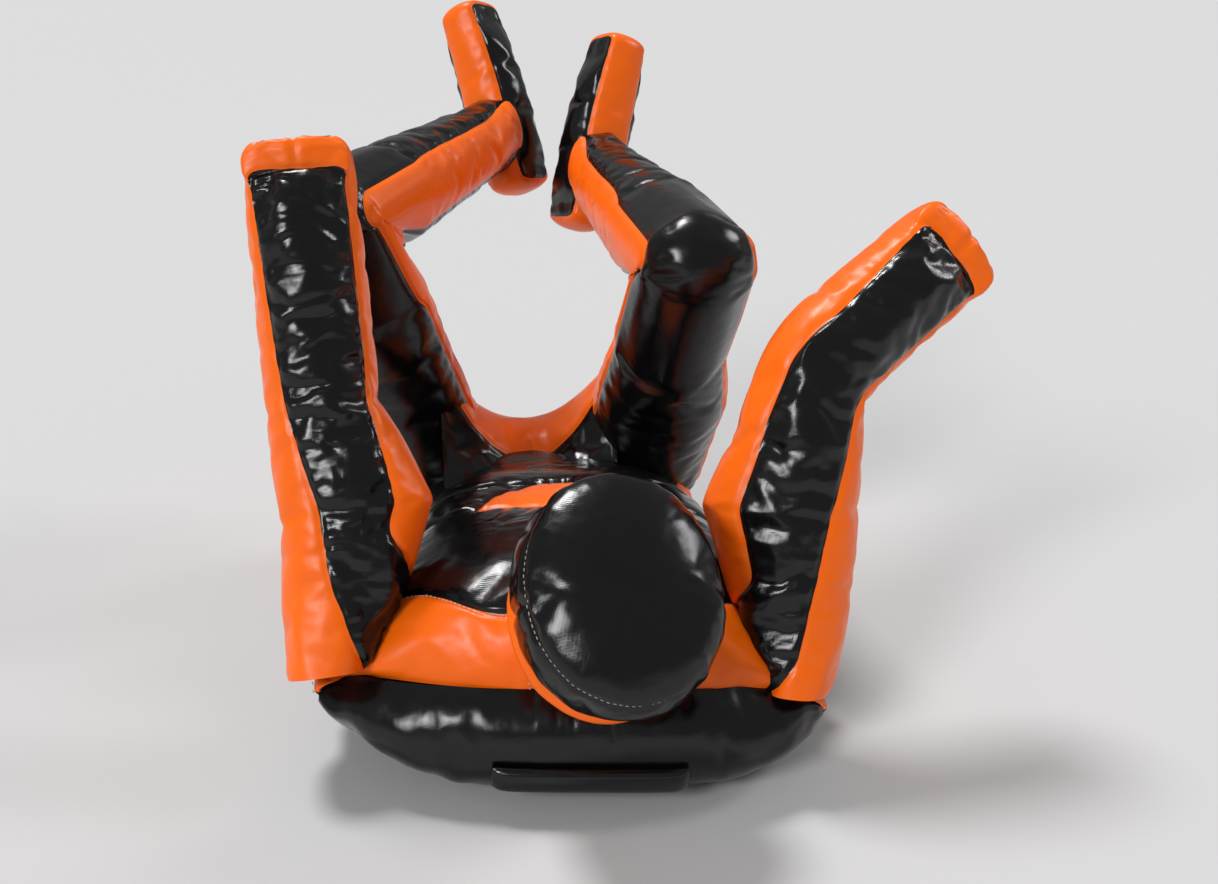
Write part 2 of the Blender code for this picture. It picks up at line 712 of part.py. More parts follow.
# Sections of the head: (distance from the neck pivot, half width, half depth).
HEAD_SECTIONS = [(0.078, 0.078, 0.090), (0.094, 0.090, 0.103), (0.110, 0.098, 0.114),
                 (0.135, 0.104, 0.124), (0.160, 0.102, 0.125), (0.178, 0.094, 0.120)]


def head_station(place):
    axis = head_axis()
    top = square_to(axis, (0, 0, 1))
    side = unit(np.cross(top, axis))
    if side[0] < 0:
        side = -side
    half = float(outline([(s, w) for s, w, _ in HEAD_SECTIONS], place))
    deep = float(outline([(s, d) for s, _, d in HEAD_SECTIONS], place))
    return Station(vec(*NECK) + axis * place, side * half, top * deep)


def build_head():
    axis = head_axis()
    pivot = vec(*NECK)

    def panel(name, places, angles, look):
        grids = [np.array([head_station(s).shrunk(depth).points(angles, 2.1) for s in places])
                 for depth in (0.0, SHEET)]
        return sheet(name, grids[0], grids[1], look, pivot)

    full = np.linspace(math.radians(92), math.radians(448), 25)
    panel("neck_collar", (0.086, 0.094, 0.102), full, ORANGE)
    places = (0.1045, 0.118, 0.135, 0.150, 0.163, 0.1765)
    panel("head_front_panel", places, np.linspace(math.radians(1), math.radians(179), 13), BLACK)
    panel("head_back_panel", places, np.linspace(math.radians(181), math.radians(359), 13), BLACK)
    rim = head_station(0.178)
    dome = [(math.radians(a)) for a in (8, 30, 52, 72, 90)]
    rings = []
    for layer, steps in ((SHEET, dome), (0.0, reversed(dome))):
        for turn in steps:
            level = rim.shrunk(layer)
            station = Station(level.middle + axis * (0.002 + (0.034 - layer) * math.cos(turn)),
                              level.width * math.sin(turn), level.outer * math.sin(turn))
            rings.append(station.points(around(24), 2.1))
    loft("head_crown_panel", rings, BLACK, pivot)
    room = SHEET + SLACK
    rings = [head_station(s).shrunk(room + extra).points(around(18), 2.1)
             for s, extra in ((0.086, 0.018), (0.098, 0.006), (0.118, 0.001), (0.140, 0.001),
                              (0.160, 0.001), (0.174, 0.001))]
    for turn in (55, 28, 10):
        a = math.radians(turn)
        base = head_station(0.178).shrunk(room)
        rings.append(Station(base.middle + axis * 0.026 * math.cos(a), base.width * math.sin(a),
                             base.outer * math.sin(a)).points(around(18), 2.1))
    loft("head_filling", rings, FILL, pivot)


# ------------------------------------------------------------------ build

def main():
    for old in list(bpy.data.objects):
        bpy.data.objects.remove(old, do_unlink=True)
    build_trunk()
    build_closure()
    build_head()
    for side in SIDES:
        build_arm(side)
        build_leg(side)
        build_foot(side)


main()
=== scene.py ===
"""The looks of the grappling dummy: puffed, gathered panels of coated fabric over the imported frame.

Metres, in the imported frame: +Y from head to feet, +X to the dummy's right, +Z up.
"""

import json
import math

import bmesh
import bpy
import numpy as np
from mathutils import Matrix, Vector
from mathutils.kdtree import KDTree


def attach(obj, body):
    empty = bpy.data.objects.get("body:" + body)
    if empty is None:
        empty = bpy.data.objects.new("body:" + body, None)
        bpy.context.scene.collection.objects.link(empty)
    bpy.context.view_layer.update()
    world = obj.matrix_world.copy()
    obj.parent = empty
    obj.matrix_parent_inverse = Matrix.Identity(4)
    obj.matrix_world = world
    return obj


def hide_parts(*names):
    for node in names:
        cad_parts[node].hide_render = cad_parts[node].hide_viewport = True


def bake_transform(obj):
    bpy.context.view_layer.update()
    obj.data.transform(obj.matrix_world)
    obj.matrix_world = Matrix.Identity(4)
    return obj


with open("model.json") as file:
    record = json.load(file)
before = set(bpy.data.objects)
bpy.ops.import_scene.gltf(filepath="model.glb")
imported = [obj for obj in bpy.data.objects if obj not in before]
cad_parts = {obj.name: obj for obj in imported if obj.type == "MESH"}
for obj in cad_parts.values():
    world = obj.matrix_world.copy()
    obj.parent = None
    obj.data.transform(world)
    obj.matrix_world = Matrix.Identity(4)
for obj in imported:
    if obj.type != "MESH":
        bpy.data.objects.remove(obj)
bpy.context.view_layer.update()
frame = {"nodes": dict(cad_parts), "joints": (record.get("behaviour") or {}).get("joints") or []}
JOINTS = {j["name"]: np.array(j.get("pos_m", (0, 0, 0)), float) for j in frame["joints"]}
SIDES = {"left": -1, "right": 1}

# ------------------------------------------------------------------ sizes

CELL = 0.0072             # mesh cell of a panel before it is puffed
BOXINESS = 2.5            # exponent of the limbs' sections: 2 is round, more is squarer

FOREARM = 0.258
FOOT = 0.290
ARM_WIDTH = 0.064
ARM_DEPTH = 0.061
ARM_ROOT_WIDTH = 0.073
THIGH_WIDTH = {"left": 0.084, "right": 0.092}
THIGH_OUT = {"left": 0.013, "right": 0.008}  # how far the thigh's cover lies outward of its joints' line
THIGH_DEPTH = 0.078
KNEE_DEPTH = 0.070
ANKLE_WIDTH = 0.054
ANKLE_DEPTH = 0.051
FOOT_WIDTH = 0.049
TIP_SLANT = 0.044         # how far short of the tip the hand's top panel ends
TIP_CURL = 0.077          # how far the under panel comes over the tip
TIP_RISE = 0.012
TIP_BULGE = 0.125

# Seams of a section are angles in degrees from its outward side, and places are shares of the length.
# The arm's top panel starts as a wedge at the root: its outer seam opens from `root` to `plain` over
# `fade`, then turns to `hand` over `run`.
ARM_OUTER_SEAM = {"left": dict(root=160, plain=90, hand=28, run=1.0, fade=0.060),
                  "right": dict(root=140, plain=90, hand=30, run=0.5, fade=0.025)}
# Its inner seam leaves the wedge, comes in to `pinch` beside the armpit and opens again to the hand.
ARM_INNER_SEAM = {"left": dict(wedge=204, pinch=118, hand=153, falls=(0.11, 0.26), rises=(0.26, 0.62)),
                  "right": dict(wedge=201, pinch=113, hand=138, falls=(0.10, 0.22), rises=(0.45, 1.0))}
# How far the inner side stands out past the limb's even width: drawn in at the root, widest at the armpit.
ARM_REACH = {"left": [(0.0, -0.058), (0.15, 0.0), (0.30, 0.043), (0.50, 0.0)],
             "right": [(0.0, -0.056), (0.17, 0.0), (0.34, 0.043), (0.55, 0.0)]}
LEG_BOXINESS = 2.25
# (share of the length, outer seam, inner seam) of the leg's front panel
LEG_SEAMS = {"left": [(0.0, 45, 185), (0.1, 45, 188), (0.2, 45, 190), (0.3, 44, 190), (0.38, 42, 184),
                      (0.42, 42, 168), (0.46, 40, 160), (0.5, 40, 154), (0.56, 42, 146),
                      (0.62, 45, 140), (0.8, 45, 137), (1.0, 45, 135)],
             "right": [(0.0, 42, 172), (0.1, 38, 176), (0.2, 34, 180), (0.3, 32, 184), (0.38, 30, 188),
                       (0.42, 30, 186), (0.46, 32, 178), (0.5, 34, 168), (0.56, 40, 156),
                       (0.62, 45, 142), (0.8, 45, 137), (1.0, 45, 135)]}
SHOULDER_TURN = 0.13      # slope of the shoulder line from square to the spine

# Degrees outward from the middle plane, and degrees leaning from straight up to the feet.
FOREARM_LEAN = {"left": (3, 17), "right": (52, 32)}
FOOT_LEAN = {"left": (14, 22), "right": (15, 18)}
FOOT_TURNS = {"left": 36, "right": 22}
UNDER_SEAMS = (225.0, 315.0)      # where a limb's under or back panel starts and ends, in degrees
HEEL_DROP, HEEL_BACK = 0.030, 0.085   # from the ankle to the heel, toward the sole and back
ARM_FACING = {"left": (0.0, -1.0, 0.0), "right": (-0.36, -1.0, 0.0)}


# ------------------------------------------------------------------ small helpers

def vec(*xyz):
    return np.array(xyz, float)


def unit(vector):
    vector = np.asarray(vector, float)
    return vector / np.linalg.norm(vector)


def square_to(direction, reference):
    """The unit vector nearest to `reference` that is square to `direction`."""
    direction = unit(direction)
    return unit(np.asarray(reference, float) - direction * np.dot(reference, direction))


def aim(side, lean):
    outward, footward = (math.radians(a) for a in lean)
    return vec(SIDES[side] * math.sin(outward),
               math.cos(outward) * math.sin(footward),
               math.cos(outward) * math.cos(footward))


def outward(direction, side):
    """The direction, turned if need be to point away from the spine on that side."""
    return -direction if direction[0] * SIDES[side] < 0 else direction


def travel(line):
    """How far along a line of points each of them lies."""
    return np.concatenate([[0], np.cumsum(np.linalg.norm(np.diff(line, axis=0), axis=1))])


def show(name, data):
    """A new object in the scene."""
    made = bpy.data.objects.new(name, data)
    bpy.context.scene.collection.objects.link(made)
    return made


def tree_of(points, numbers):
    """A search tree of points, which answers with their numbers."""
    tree = KDTree(len(points))
    for point, number in zip(points, numbers):
        tree.insert(point, int(number))
    tree.balance()
    return tree


def ramp(value, start, end):
    """0 before start, 1 after end, with a smooth rise between them."""
    t = np.clip((np.asarray(value, float) - start) / (end - start), 0, 1)
    return t * t * (3 - 2 * t)


def outline(values, at):
    places, heights = zip(*values)
    return np.interp(at, places, heights)


def smooth_run(values, at):
    """Smooth value through (place, value...) rows: a Catmull-Rom spline over the places."""
    table = np.asarray(values, float)
    places, heights = table[:, 0], table[:, 1:]
    at = np.clip(np.asarray(at, float), places[0], places[-1])
    k = np.clip(np.searchsorted(places, at, side="right") - 1, 0, len(places) - 2)
    wide = (places[k + 1] - places[k])[:, None]
    t = ((at - places[k])[:, None]) / wide
    slope = np.gradient(heights, places, axis=0)
    return ((2 * t ** 3 - 3 * t ** 2 + 1) * heights[k] + (t ** 3 - 2 * t ** 2 + t) * wide * slope[k]
            + (3 * t ** 2 - 2 * t ** 3) * heights[k + 1] + (t ** 3 - t ** 2) * wide * slope[k + 1])


def lattice(points, seed):
    """Repeatable random numbers from -1 to 1 at whole-number places."""
    n = points[..., 0] * 374761393 + points[..., 1] * 668265263 + points[..., 2] * 2147483647
    n = (n + seed * 1274126177) & 0xFFFFFFFF
    n = ((n ^ (n >> 13)) * 1274126177) & 0xFFFFFFFF
    n = n ^ (n >> 16)
    return (n & 0xFFFF) / 32767.5 - 1.0


def noise(points, size, seed=0, octaves=1):
    """Smooth noise from -1 to 1 with features of about `size` metres."""
    points = np.asarray(points, float)
    total = np.zeros(len(points))
    weight = 1.0
    for octave in range(octaves):
        p = points / size * 2 ** octave + 17.3 * octave + 100
        low = np.floor(p).astype(np.int64)
        t = p - low
        t = t * t * (3 - 2 * t)
        value = np.zeros(len(points))
        for corner in range(8):
            step = np.array([corner & 1, corner >> 1 & 1, corner >> 2 & 1])
            share = np.prod(np.where(step, t, 1 - t), axis=1)
            value += share * lattice(low + step, seed + octave)
        total += value * weight
        weight *= 0.5
    return total


# ------------------------------------------------------------------ materials

def finish_of(name, colour, roughness, coat, grain, crinkle, variation=0.2, metallic=0.0, weave=0.0,
              shine=0.5):
    """Coated fabric or metal: colour and gloss that vary, fine grain, weave and crinkles in the bump."""
    made = bpy.data.materials.new(name)
    made.use_nodes = True
    tree = made.node_tree
    nodes, links = tree.nodes, tree.links
    shader = nodes["Principled BSDF"]
    place = nodes.new("ShaderNodeTexCoord")

    def textured(kind, scale, detail=4.0, rough=0.5):
        node = nodes.new("ShaderNodeTexNoise")
        node.inputs["Scale"].default_value = scale
        node.inputs["Detail"].default_value = detail
        node.inputs["Roughness"].default_value = rough
        if kind == "ridge":
            node.noise_type = "RIDGED_MULTIFRACTAL"
        links.new(place.outputs["Object"], node.inputs["Vector"])
        return node.outputs["Fac"]

    def mapped(source, low, high, start=0.25, end=0.75):
        node = nodes.new("ShaderNodeMapRange")
        for key, value in (("From Min", start), ("From Max", end), ("To Min", low), ("To Max", high)):
            node.inputs[key].default_value = value
        links.new(source, node.inputs["Value"])
        return node.outputs["Result"]

    broad = textured("plain", 7.0, 5.0)
    tint = nodes.new("ShaderNodeMix")
    tint.data_type = "RGBA"
    darker = tuple(c * (1 - variation) for c in colour)
    tint.inputs["A"].default_value = (*darker, 1.0)
    tint.inputs["B"].default_value = (*colour, 1.0)
    links.new(mapped(broad, 0.0, 1.0, 0.3, 0.6), tint.inputs["Factor"])
    links.new(tint.outputs["Result"], shader.inputs["Base Color"])
    links.new(mapped(textured("plain", 38.0, 6.0, 0.6), roughness * 0.72, roughness * 1.35),
              shader.inputs["Roughness"])
    shader.inputs["Metallic"].default_value = metallic
    shader.inputs["Coat Weight"].default_value = coat
    shader.inputs["Coat Roughness"].default_value = roughness * 0.6
    shader.inputs["Specular IOR Level"].default_value = shine

    def bumped(height, strength, distance, under=None):
        node = nodes.new("ShaderNodeBump")
        node.inputs["Strength"].default_value = strength
        node.inputs["Distance"].default_value = distance
        links.new(height, node.inputs["Height"])
        if under is not None:
            links.new(under, node.inputs["Normal"])
        return node.outputs["Normal"]

    normal = bumped(textured("plain", 16.0, 3.0, 0.45), crinkle, 0.010)
    normal = bumped(textured("plain", 60.0, 3.0, 0.5), crinkle * 0.6, 0.0022, normal)
    normal = bumped(textured("plain", 900.0, 2.0), grain, 0.00012, normal)
    if weave:
        for direction in ("X", "Z"):
            wave = nodes.new("ShaderNodeTexWave")
            wave.bands_direction = direction
            wave.inputs["Scale"].default_value = 260.0
            links.new(place.outputs["Object"], wave.inputs["Vector"])
            normal = bumped(wave.outputs["Fac"], weave, 0.00010, normal)
    links.new(normal, shader.inputs["Normal"])
    links.new(normal, shader.inputs["Coat Normal"])
    made.diffuse_color = (*colour, 1.0)
    return made


BLACK = finish_of("black_vinyl", (0.0032, 0.0033, 0.0040), 0.19, 0.18, 0.30, 0.22, 0.35,
                  weave=0.25, shine=0.32)
ORANGE = finish_of("orange_vinyl", (1.0, 0.150, 0.0030), 0.34, 0.06, 0.30, 0.12, 0.05,
                   weave=0.25, shine=0.26)
THREAD = finish_of("pale_thread", (0.62, 0.58, 0.50), 0.8, 0.0, 0.3, 0.0)
TAPE = finish_of("zip_tape", (0.016, 0.016, 0.018), 0.75, 0.0, 0.6, 0.1, weave=0.8)
METAL = finish_of("bright_zip_metal", (0.56, 0.52, 0.45), 0.30, 0.0, 0.2, 0.05, metallic=1.0)


# ------------------------------------------------------------------ shells of sewn panels

class Shell:
    """Sewn panels, each a grid of points; grids that share an edge are welded along it."""

    def __init__(self):
        self.labels = []
        self.looks = {}
        self.grids = []

    def add(self, label, grid, look):
        if label not in self.looks:
            self.labels.append(label)
            self.looks[label] = look
        self.grids.append((self.labels.index(label), np.asarray(grid, float)))

    def weld(self):
        points, faces, marks = [], [], []
        shift = 0
        for mark, grid in self.grids:
            rows, columns = grid.shape[:2]
            index = shift + np.arange(rows * columns).reshape(rows, columns)
            quads = np.stack([index[:-1, :-1], index[:-1, 1:], index[1:, 1:], index[1:, :-1]], -1)
            faces.append(quads.reshape(-1, 4))
            marks.append(np.full(len(faces[-1]), mark))
            points.append(grid.reshape(-1, 3))
            shift += rows * columns
        points, faces, marks = np.concatenate(points), np.concatenate(faces), np.concatenate(marks)
        _, first, back = np.unique(np.round(points * 2e4).astype(np.int64), axis=0,
                                   return_index=True, return_inverse=True)
        self.points = points[first]
        faces = back.reshape(-1)[faces]
        self.faces, self.marks = [], []
        for face, mark in zip(faces.tolist(), marks.tolist()):
            kept = [v for i, v in enumerate(face) if v != face[i - 1]]
            if len(set(kept)) >= 3 and len(set(kept)) == len(kept):
                self.faces.append(kept)
                self.marks.append(mark)
        return self

    def mesh(self, name="shell"):
        mesh = bpy.data.meshes.new(name)
        mesh.from_pydata(self.points.tolist(), [], self.faces)
        mesh.polygons.foreach_set("material_index", np.array(self.marks, np.int32))
        mesh.update()
        return mesh

    def edge_marks(self):
        """Every edge, as (a, b) -> the labels on it."""
        found = {}
        for face, mark in zip(self.faces, self.marks):
            for a, b in zip(face, face[1:] + face[:1]):
                found.setdefault((min(a, b), max(a, b)), []).append(mark)
        return found

    def seams(self):
        """Points on seams between different panels, and points on open rims."""
        sewn, rim = set(), set()
        for edge, marks in self.edge_marks().items():
            if len(marks) == 1:
                rim.update(edge)
            elif len(set(marks)) > 1:
                sewn.update(edge)
        return np.array(sorted(sewn), int), np.array(sorted(rim), int)

    def turn_out(self):
        """Makes the faces point away from the middle of the shell."""
        mesh = self.mesh()
        work = bmesh.new()
        work.from_mesh(mesh)
        bmesh.ops.recalc_face_normals(work, faces=work.faces)
        work.to_mesh(mesh)
        work.free()
        self.faces = [list(p.vertices) for p in mesh.polygons]
        self.marks = [p.material_index for p in mesh.polygons]
        bpy.data.meshes.remove(mesh)
        return self

    def normals(self):
        total = np.zeros_like(self.points)
        quads = np.array([f if len(f) == 4 else f + [f[0]] for f in self.faces])
        p = self.points[quads]
        n = np.cross(p[:, 2] - p[:, 0], p[:, 3] - p[:, 1])
        flat = np.linalg.norm(n, axis=1) < 1e-14
        n[flat] = np.cross(p[flat, 1] - p[flat, 0], p[flat, 2] - p[flat, 0])
        for corner in range(4):
            np.add.at(total, quads[:, corner], n)
        return total / np.maximum(np.linalg.norm(total, axis=1), 1e-12)[:, None]

    def calm(self):
        """Share of each point that belongs to orange panels, which are cut with less slack."""
        share = np.zeros(len(self.points))
        for face, mark in zip(self.faces, self.marks):
            if self.looks[self.labels[mark]] is ORANGE:
                share[face] = 1.0
        return share

    def puff(self, pressure=4.0, excess=0.05, cap=0.010, frames=20, bending=0.6, hold=None):
        """Cloth simulation with the seams held, so that each panel swells and gathers along them."""
        sewn, rim = self.seams()
        mesh = self.mesh("puffing")
        body = show("puffing", mesh)
        group = body.vertex_groups.new(name="held")
        held = np.zeros(len(self.points))
        held[sewn] = 1
        held[rim] = 1
        if hold is not None:
            held = np.maximum(held, hold(self.points))
        for share in np.unique(np.round(held[held > 0.02], 2)):
            group.add(np.nonzero(np.abs(held - share) < 0.006)[0].tolist(), float(share), "REPLACE")
        taut = body.vertex_groups.new(name="taut")
        taut.add(np.nonzero(self.calm() > 0.5)[0].tolist(), 1.0, "REPLACE")
        cloth = body.modifiers.new("cloth", "CLOTH")
        made = cloth.settings
        made.quality = 5
        made.mass = 0.25
        made.tension_stiffness = made.compression_stiffness = 18
        made.shear_stiffness = 8
        made.bending_stiffness = bending
        made.use_pressure = True
        made.uniform_pressure_force = pressure
        made.effector_weights.gravity = 0
        made.vertex_group_mass = "held"
        made.shrink_min = -excess
        made.shrink_max = -0.35 * excess
        made.vertex_group_shrink = "taut"
        cloth.collision_settings.use_collision = False
        scene = bpy.context.scene
        cloth.point_cache.frame_end = frames
        for step in range(1, frames + 1):
            scene.frame_set(step)
        seen = body.evaluated_get(bpy.context.evaluated_depsgraph_get())
        moved = np.empty(len(self.points) * 3, np.float32)
        seen.data.vertices.foreach_get("co", moved)
        moved = moved.reshape(-1, 3).astype(float)
        bpy.data.objects.remove(body)
        bpy.data.meshes.remove(mesh)
        scene.frame_set(1)
        shift = moved - self.points
        far = np.linalg.norm(shift, axis=1)
        shift *= (cap * np.tanh(far / cap) / np.maximum(far, 1e-9))[:, None]
        self.points = self.points + np.nan_to_num(shift)
        return self

    def refine(self):
        """One level of Catmull-Clark subdivision."""
        mesh = self.mesh("refining")
        body = show("refining", mesh)
        body.modifiers.new("smooth", "SUBSURF").levels = 1
        seen = body.evaluated_get(bpy.context.evaluated_depsgraph_get()).data
        points = np.empty(len(seen.vertices) * 3, np.float32)
        seen.vertices.foreach_get("co", points)
        self.points = points.reshape(-1, 3).astype(float)
        self.faces = [list(p.vertices) for p in seen.polygons]
        self.marks = [p.material_index for p in seen.polygons]
        bpy.data.objects.remove(body)
        bpy.data.meshes.remove(mesh)
        return self

    def gather(self, sink=0.0026, width=0.0040, height=0.0016, reach=0.020, pitch=0.011, seed=1,
               crumple=0.0008, only=None):
        """Sinks the seams and draws puckers square to them into the panels, with fine crumples between."""
        normals = self.normals()
        sewn, _ = self.seams()
        if len(sewn):
            tree = tree_of(self.points[sewn], range(len(sewn)))
            found = [tree.find(p) for p in self.points]
            near = np.array([f[0] for f in found])
            far = np.array([f[2] for f in found])
            amount = 0.55 + 0.45 * noise(near, 0.07, seed + 5)
            folds = noise(near, pitch, seed) * 0.75 + noise(near, pitch * 2.3, seed + 9) * 0.6
            spread = reach * (0.7 + 0.5 * noise(near, pitch * 1.7, seed + 3))
            lift = height * amount * folds * np.exp(-far / np.maximum(spread, 0.004)) * ramp(far, 0.0, 0.005)
            lift -= sink * np.exp(-(far / width) ** 2)
        else:
            lift = np.zeros(len(self.points))
        lift += crumple * noise(self.points, 0.045, seed + 11, 3)
        if only is not None:
            lift *= only(self.points)
        self.points = self.points + normals * lift[:, None]
        return self

    def crinkle(self, along, height, short, long, seed, only=None):
        """Wandering sharp folds that run mostly across `along`, `short` apart and `long` in length."""
        along = unit(along)
        warp = np.stack([noise(self.points, long, seed + 60 + k) for k in range(3)], axis=1) * long * 0.35
        bent = self.points + warp
        lengthways = bent @ along
        rest = bent - np.outer(lengthways, along)
        squeezed = rest / long * short + np.outer(lengthways, along)
        fold = noise(squeezed, short, seed + 70) + 0.35 * noise(squeezed, short * 0.5, seed + 71)
        ridge = 1 - np.minimum(np.abs(fold) * 2.4, 1.0)
        lift = height * (0.6 * fold - 1.0 * ridge ** 2) * ramp(noise(self.points, 0.10, seed + 80), -0.5, 0.3)
        if only is not None:
            lift *= only(self.points)
        self.points = self.points + self.normals() * lift[:, None]
        return self


def seam_chain(shell, first, second):
    """The seam between two panels as runs of vertices in order."""
    wanted = {shell.labels.index(first), shell.labels.index(second)}
    links = {}
    for (a, b), marks in shell.edge_marks().items():
        if len(marks) == 2 and set(marks) == wanted:
            links.setdefault(a, []).append(b)
            links.setdefault(b, []).append(a)
    runs, used = [], set()
    for start in sorted(links, key=lambda v: (len(links[v]) != 1, v)):
        if start in used:
            continue
        run = [start]
        used.add(start)
        while True:
            step = [v for v in links[run[-1]] if v not in used]
            if not step:
                break
            run.append(step[0])
            used.add(step[0])
        if len(run) > 3:
            if len(run) > 8 and run[0] in links[run[-1]]:
                run.append(run[0])
            runs.append(run)
    return runs


def stitches(shell, name, seams, body, offset=0.0042, pitch=0.0062, length=0.0038, radius=0.00055):
    """Short raised stitches beside seams, given as (panel that they lie on, its neighbour)."""
    normals = shell.normals()
    points, faces = [], []
    ring = np.linspace(0, 2 * math.pi, 6, endpoint=False)
    marks = np.array(shell.marks)
    for on, off in seams:
        faces_on = np.nonzero(marks == shell.labels.index(on))[0]
        own = np.unique(np.concatenate([shell.faces[i] for i in faces_on]))
        tree = tree_of(shell.points[own], own)
        for run in seam_chain(shell, on, off):
            line = even_line(shell.points[run], pitch)
            for here, way in zip(line, np.gradient(line, axis=0)):
                _, near, _ = tree.find(here)
                way, up = unit(way), normals[near]
                aside = unit(np.cross(up, way))
                spots = [tree.find(here + aside * offset * sign) for sign in (1, -1)]
                _, near, _ = min(spots, key=lambda found: found[2])
                sign = 1 if spots[0][2] <= spots[1][2] else -1
                up = normals[near]
                spot = here + aside * offset * sign
                spot = spot - up * np.dot(spot - shell.points[near], up) + up * radius * 0.4
                shift = len(points)
                for along, thick in ((-0.5, 0.3), (-0.36, 1), (0.36, 1), (0.5, 0.3)):
                    middle = spot + way * along * length - up * (abs(along) > 0.4) * radius
                    for a in ring:
                        points.append(middle + radius * thick * (math.cos(a) * aside + math.sin(a) * up))
                for k in range(3):
                    for i in range(6):
                        j = (i + 1) % 6
                        faces.append([shift + 6 * k + i, shift + 6 * k + j, shift + 6 * k + 6 + j,
                                      shift + 6 * k + 6 + i])
                faces.append([shift + i for i in range(5, -1, -1)])
                faces.append([shift + 18 + i for i in range(6)])
    made = piece_from(name, np.array(points), faces, THREAD)
    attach(made, body)
    return made


def piece_from(name, points, faces, look, normals=None):
    used = np.unique(np.concatenate([np.asarray(f) for f in faces]))
    renumber = np.full(len(points), -1)
    renumber[used] = np.arange(len(used))
    mesh = bpy.data.meshes.new(name)
    mesh.from_pydata(points[used].tolist(), [], [[int(renumber[v]) for v in f] for f in faces])
    mesh.materials.append(look)
    mesh.shade_smooth()
    if normals is not None:
        mesh.normals_split_custom_set_from_vertices(normals[used].tolist())
    made = show(name, mesh)
    return made


def pieces_of(shell, name, parts=None):
    """The shell's panels as pieces, each cut into parts by where its faces are."""
    normals = shell.normals()
    middles = np.array([shell.points[f].mean(0) for f in shell.faces])
    marks = np.array(shell.marks)
    part_of = np.zeros(len(middles), int) if parts is None else parts(middles)
    made = {}
    for mark, label in enumerate(shell.labels):
        for part in np.unique(part_of[marks == mark]):
            chosen = np.nonzero((marks == mark) & (part_of == part))[0]
            faces = [shell.faces[i] for i in chosen]
            full = f"{name}{label}" if parts is None else f"{name}{label}_{part + 1}"
            made[label, int(part)] = piece_from(full, shell.points, faces, shell.looks[label], normals)
    return made


# ------------------------------------------------------------------ sections of a limb

class Station:
    """A section across a limb: its middle, half width vector, and depth to either side."""

    def __init__(self, middle, width, outer, inner=None, boxiness=BOXINESS):
        self.middle = np.asarray(middle, float)
        self.width = np.asarray(width, float)
        self.outer = np.asarray(outer, float)
        self.inner = -self.outer if inner is None else np.asarray(inner, float)
        self.boxiness = boxiness

    def points(self, angles):
        c, s = np.cos(angles), np.sin(angles)
        across = np.sign(c) * np.abs(c) ** (2 / self.boxiness)
        deep = np.sign(s) * np.abs(s) ** (2 / self.boxiness)
        return (self.middle + across[:, None] * self.width
                + np.maximum(deep, 0)[:, None] * self.outer
                + np.maximum(-deep, 0)[:, None] * self.inner)


def span(start, end, cells):
    """Angles from start to end degrees round a section, spaced for even cells."""
    fine = np.radians(np.linspace(start, end, 121))
    here = Station(vec(0, 0, 0), vec(1, 0, 0), vec(0, 1, 0)).points(fine)
    steps = travel(here)
    return np.interp(np.linspace(0, steps[-1], cells + 1), steps, fine)


def even_line(line, cell):
    steps = travel(line)
    count = max(3, int(round(steps[-1] / cell)) + 1)
    places = np.linspace(0, steps[-1], count)
    return np.stack([np.interp(places, steps, line[:, k]) for k in range(3)], axis=1)


def round_corner(a, b, c, count=14):
    t = np.linspace(0, 1, count)[:, None]
    return (1 - t) ** 2 * a + 2 * t * (1 - t) * b + t ** 2 * c


def panel_grid(stations, seams, cells, lean=None):
    """A panel between two seams, given at each station as (start, end) degrees."""
    grid = np.array([s.points(span(*ends, cells)) for s, ends in zip(stations, seams)])
    return grid if lean is None else lean(grid)


def domed(grid, along, height, cells, start_dome=None):
    """A face panel whose end row bows out over the tip."""
    count = len(grid)

    def dome(row, way, rise):
        seam = row[[0, -1]]
        chord = seam[1] - seam[0]
        turn = np.linspace(0, math.pi, 400)
        curve = np.stack([np.sign(np.cos(turn)) * np.abs(np.cos(turn)) ** 0.62,
                          rise / (np.linalg.norm(chord) / 2) * np.abs(np.sin(turn)) ** 0.62], axis=1)
        steps = travel(curve)
        places = np.linspace(0, steps[-1], cells + 1)
        x = np.interp(places, steps, curve[:, 0])
        y = np.interp(places, steps, curve[:, 1]) * np.linalg.norm(chord) / 2
        return (seam[0] + seam[1]) / 2 - chord / 2 * x[:, None] + way * y[:, None]

    reach = min(12, count // 3)
    shift = dome(grid[-1], along, height) - grid[-1]
    for k in range(reach):
        grid[count - 1 - k] += shift * ramp(1 - k / reach, 0, 1)
    if start_dome is not None:
        shift = dome(grid[0], -along, start_dome) - grid[0]
        for k in range(reach):
            grid[k] += shift * ramp(1 - k / reach, 0, 1)
    return grid


def over_tip(first_edge, second_edge, first_side, second_side, outward, way):
    """Rows of the strip that cross the tip between the two faces' end rows, from side to side."""
    chord = np.linspace(0, 1, len(first_side))[:, None]

    def bulge(side, out):
        off = side - (side[0] + (side[-1] - side[0]) * chord)
        return off @ out, off - np.outer(off @ out, out)

    (out_a, rest_a), (out_b, rest_b) = bulge(first_side, outward), bulge(second_side, -outward)
    rows = []
    for share, a, b in zip(np.linspace(0, 1, len(first_edge)), first_edge, second_edge):
        facing = outward * math.cos(math.pi * share) + way * math.sin(math.pi * share)
        out = out_a * (1 - share) + out_b * share
        rows.append(a + (b - a) * chord + np.outer(out, facing) + rest_a * (1 - share) + rest_b * share)
    return np.array(rows)


# ------------------------------------------------------------------ arms

def arm_joints(side):
    shoulder, elbow = JOINTS[f"{side}_shoulder"], JOINTS[f"{side}_elbow"]
    return shoulder, elbow, elbow + FOREARM * aim(side, FOREARM_LEAN[side])


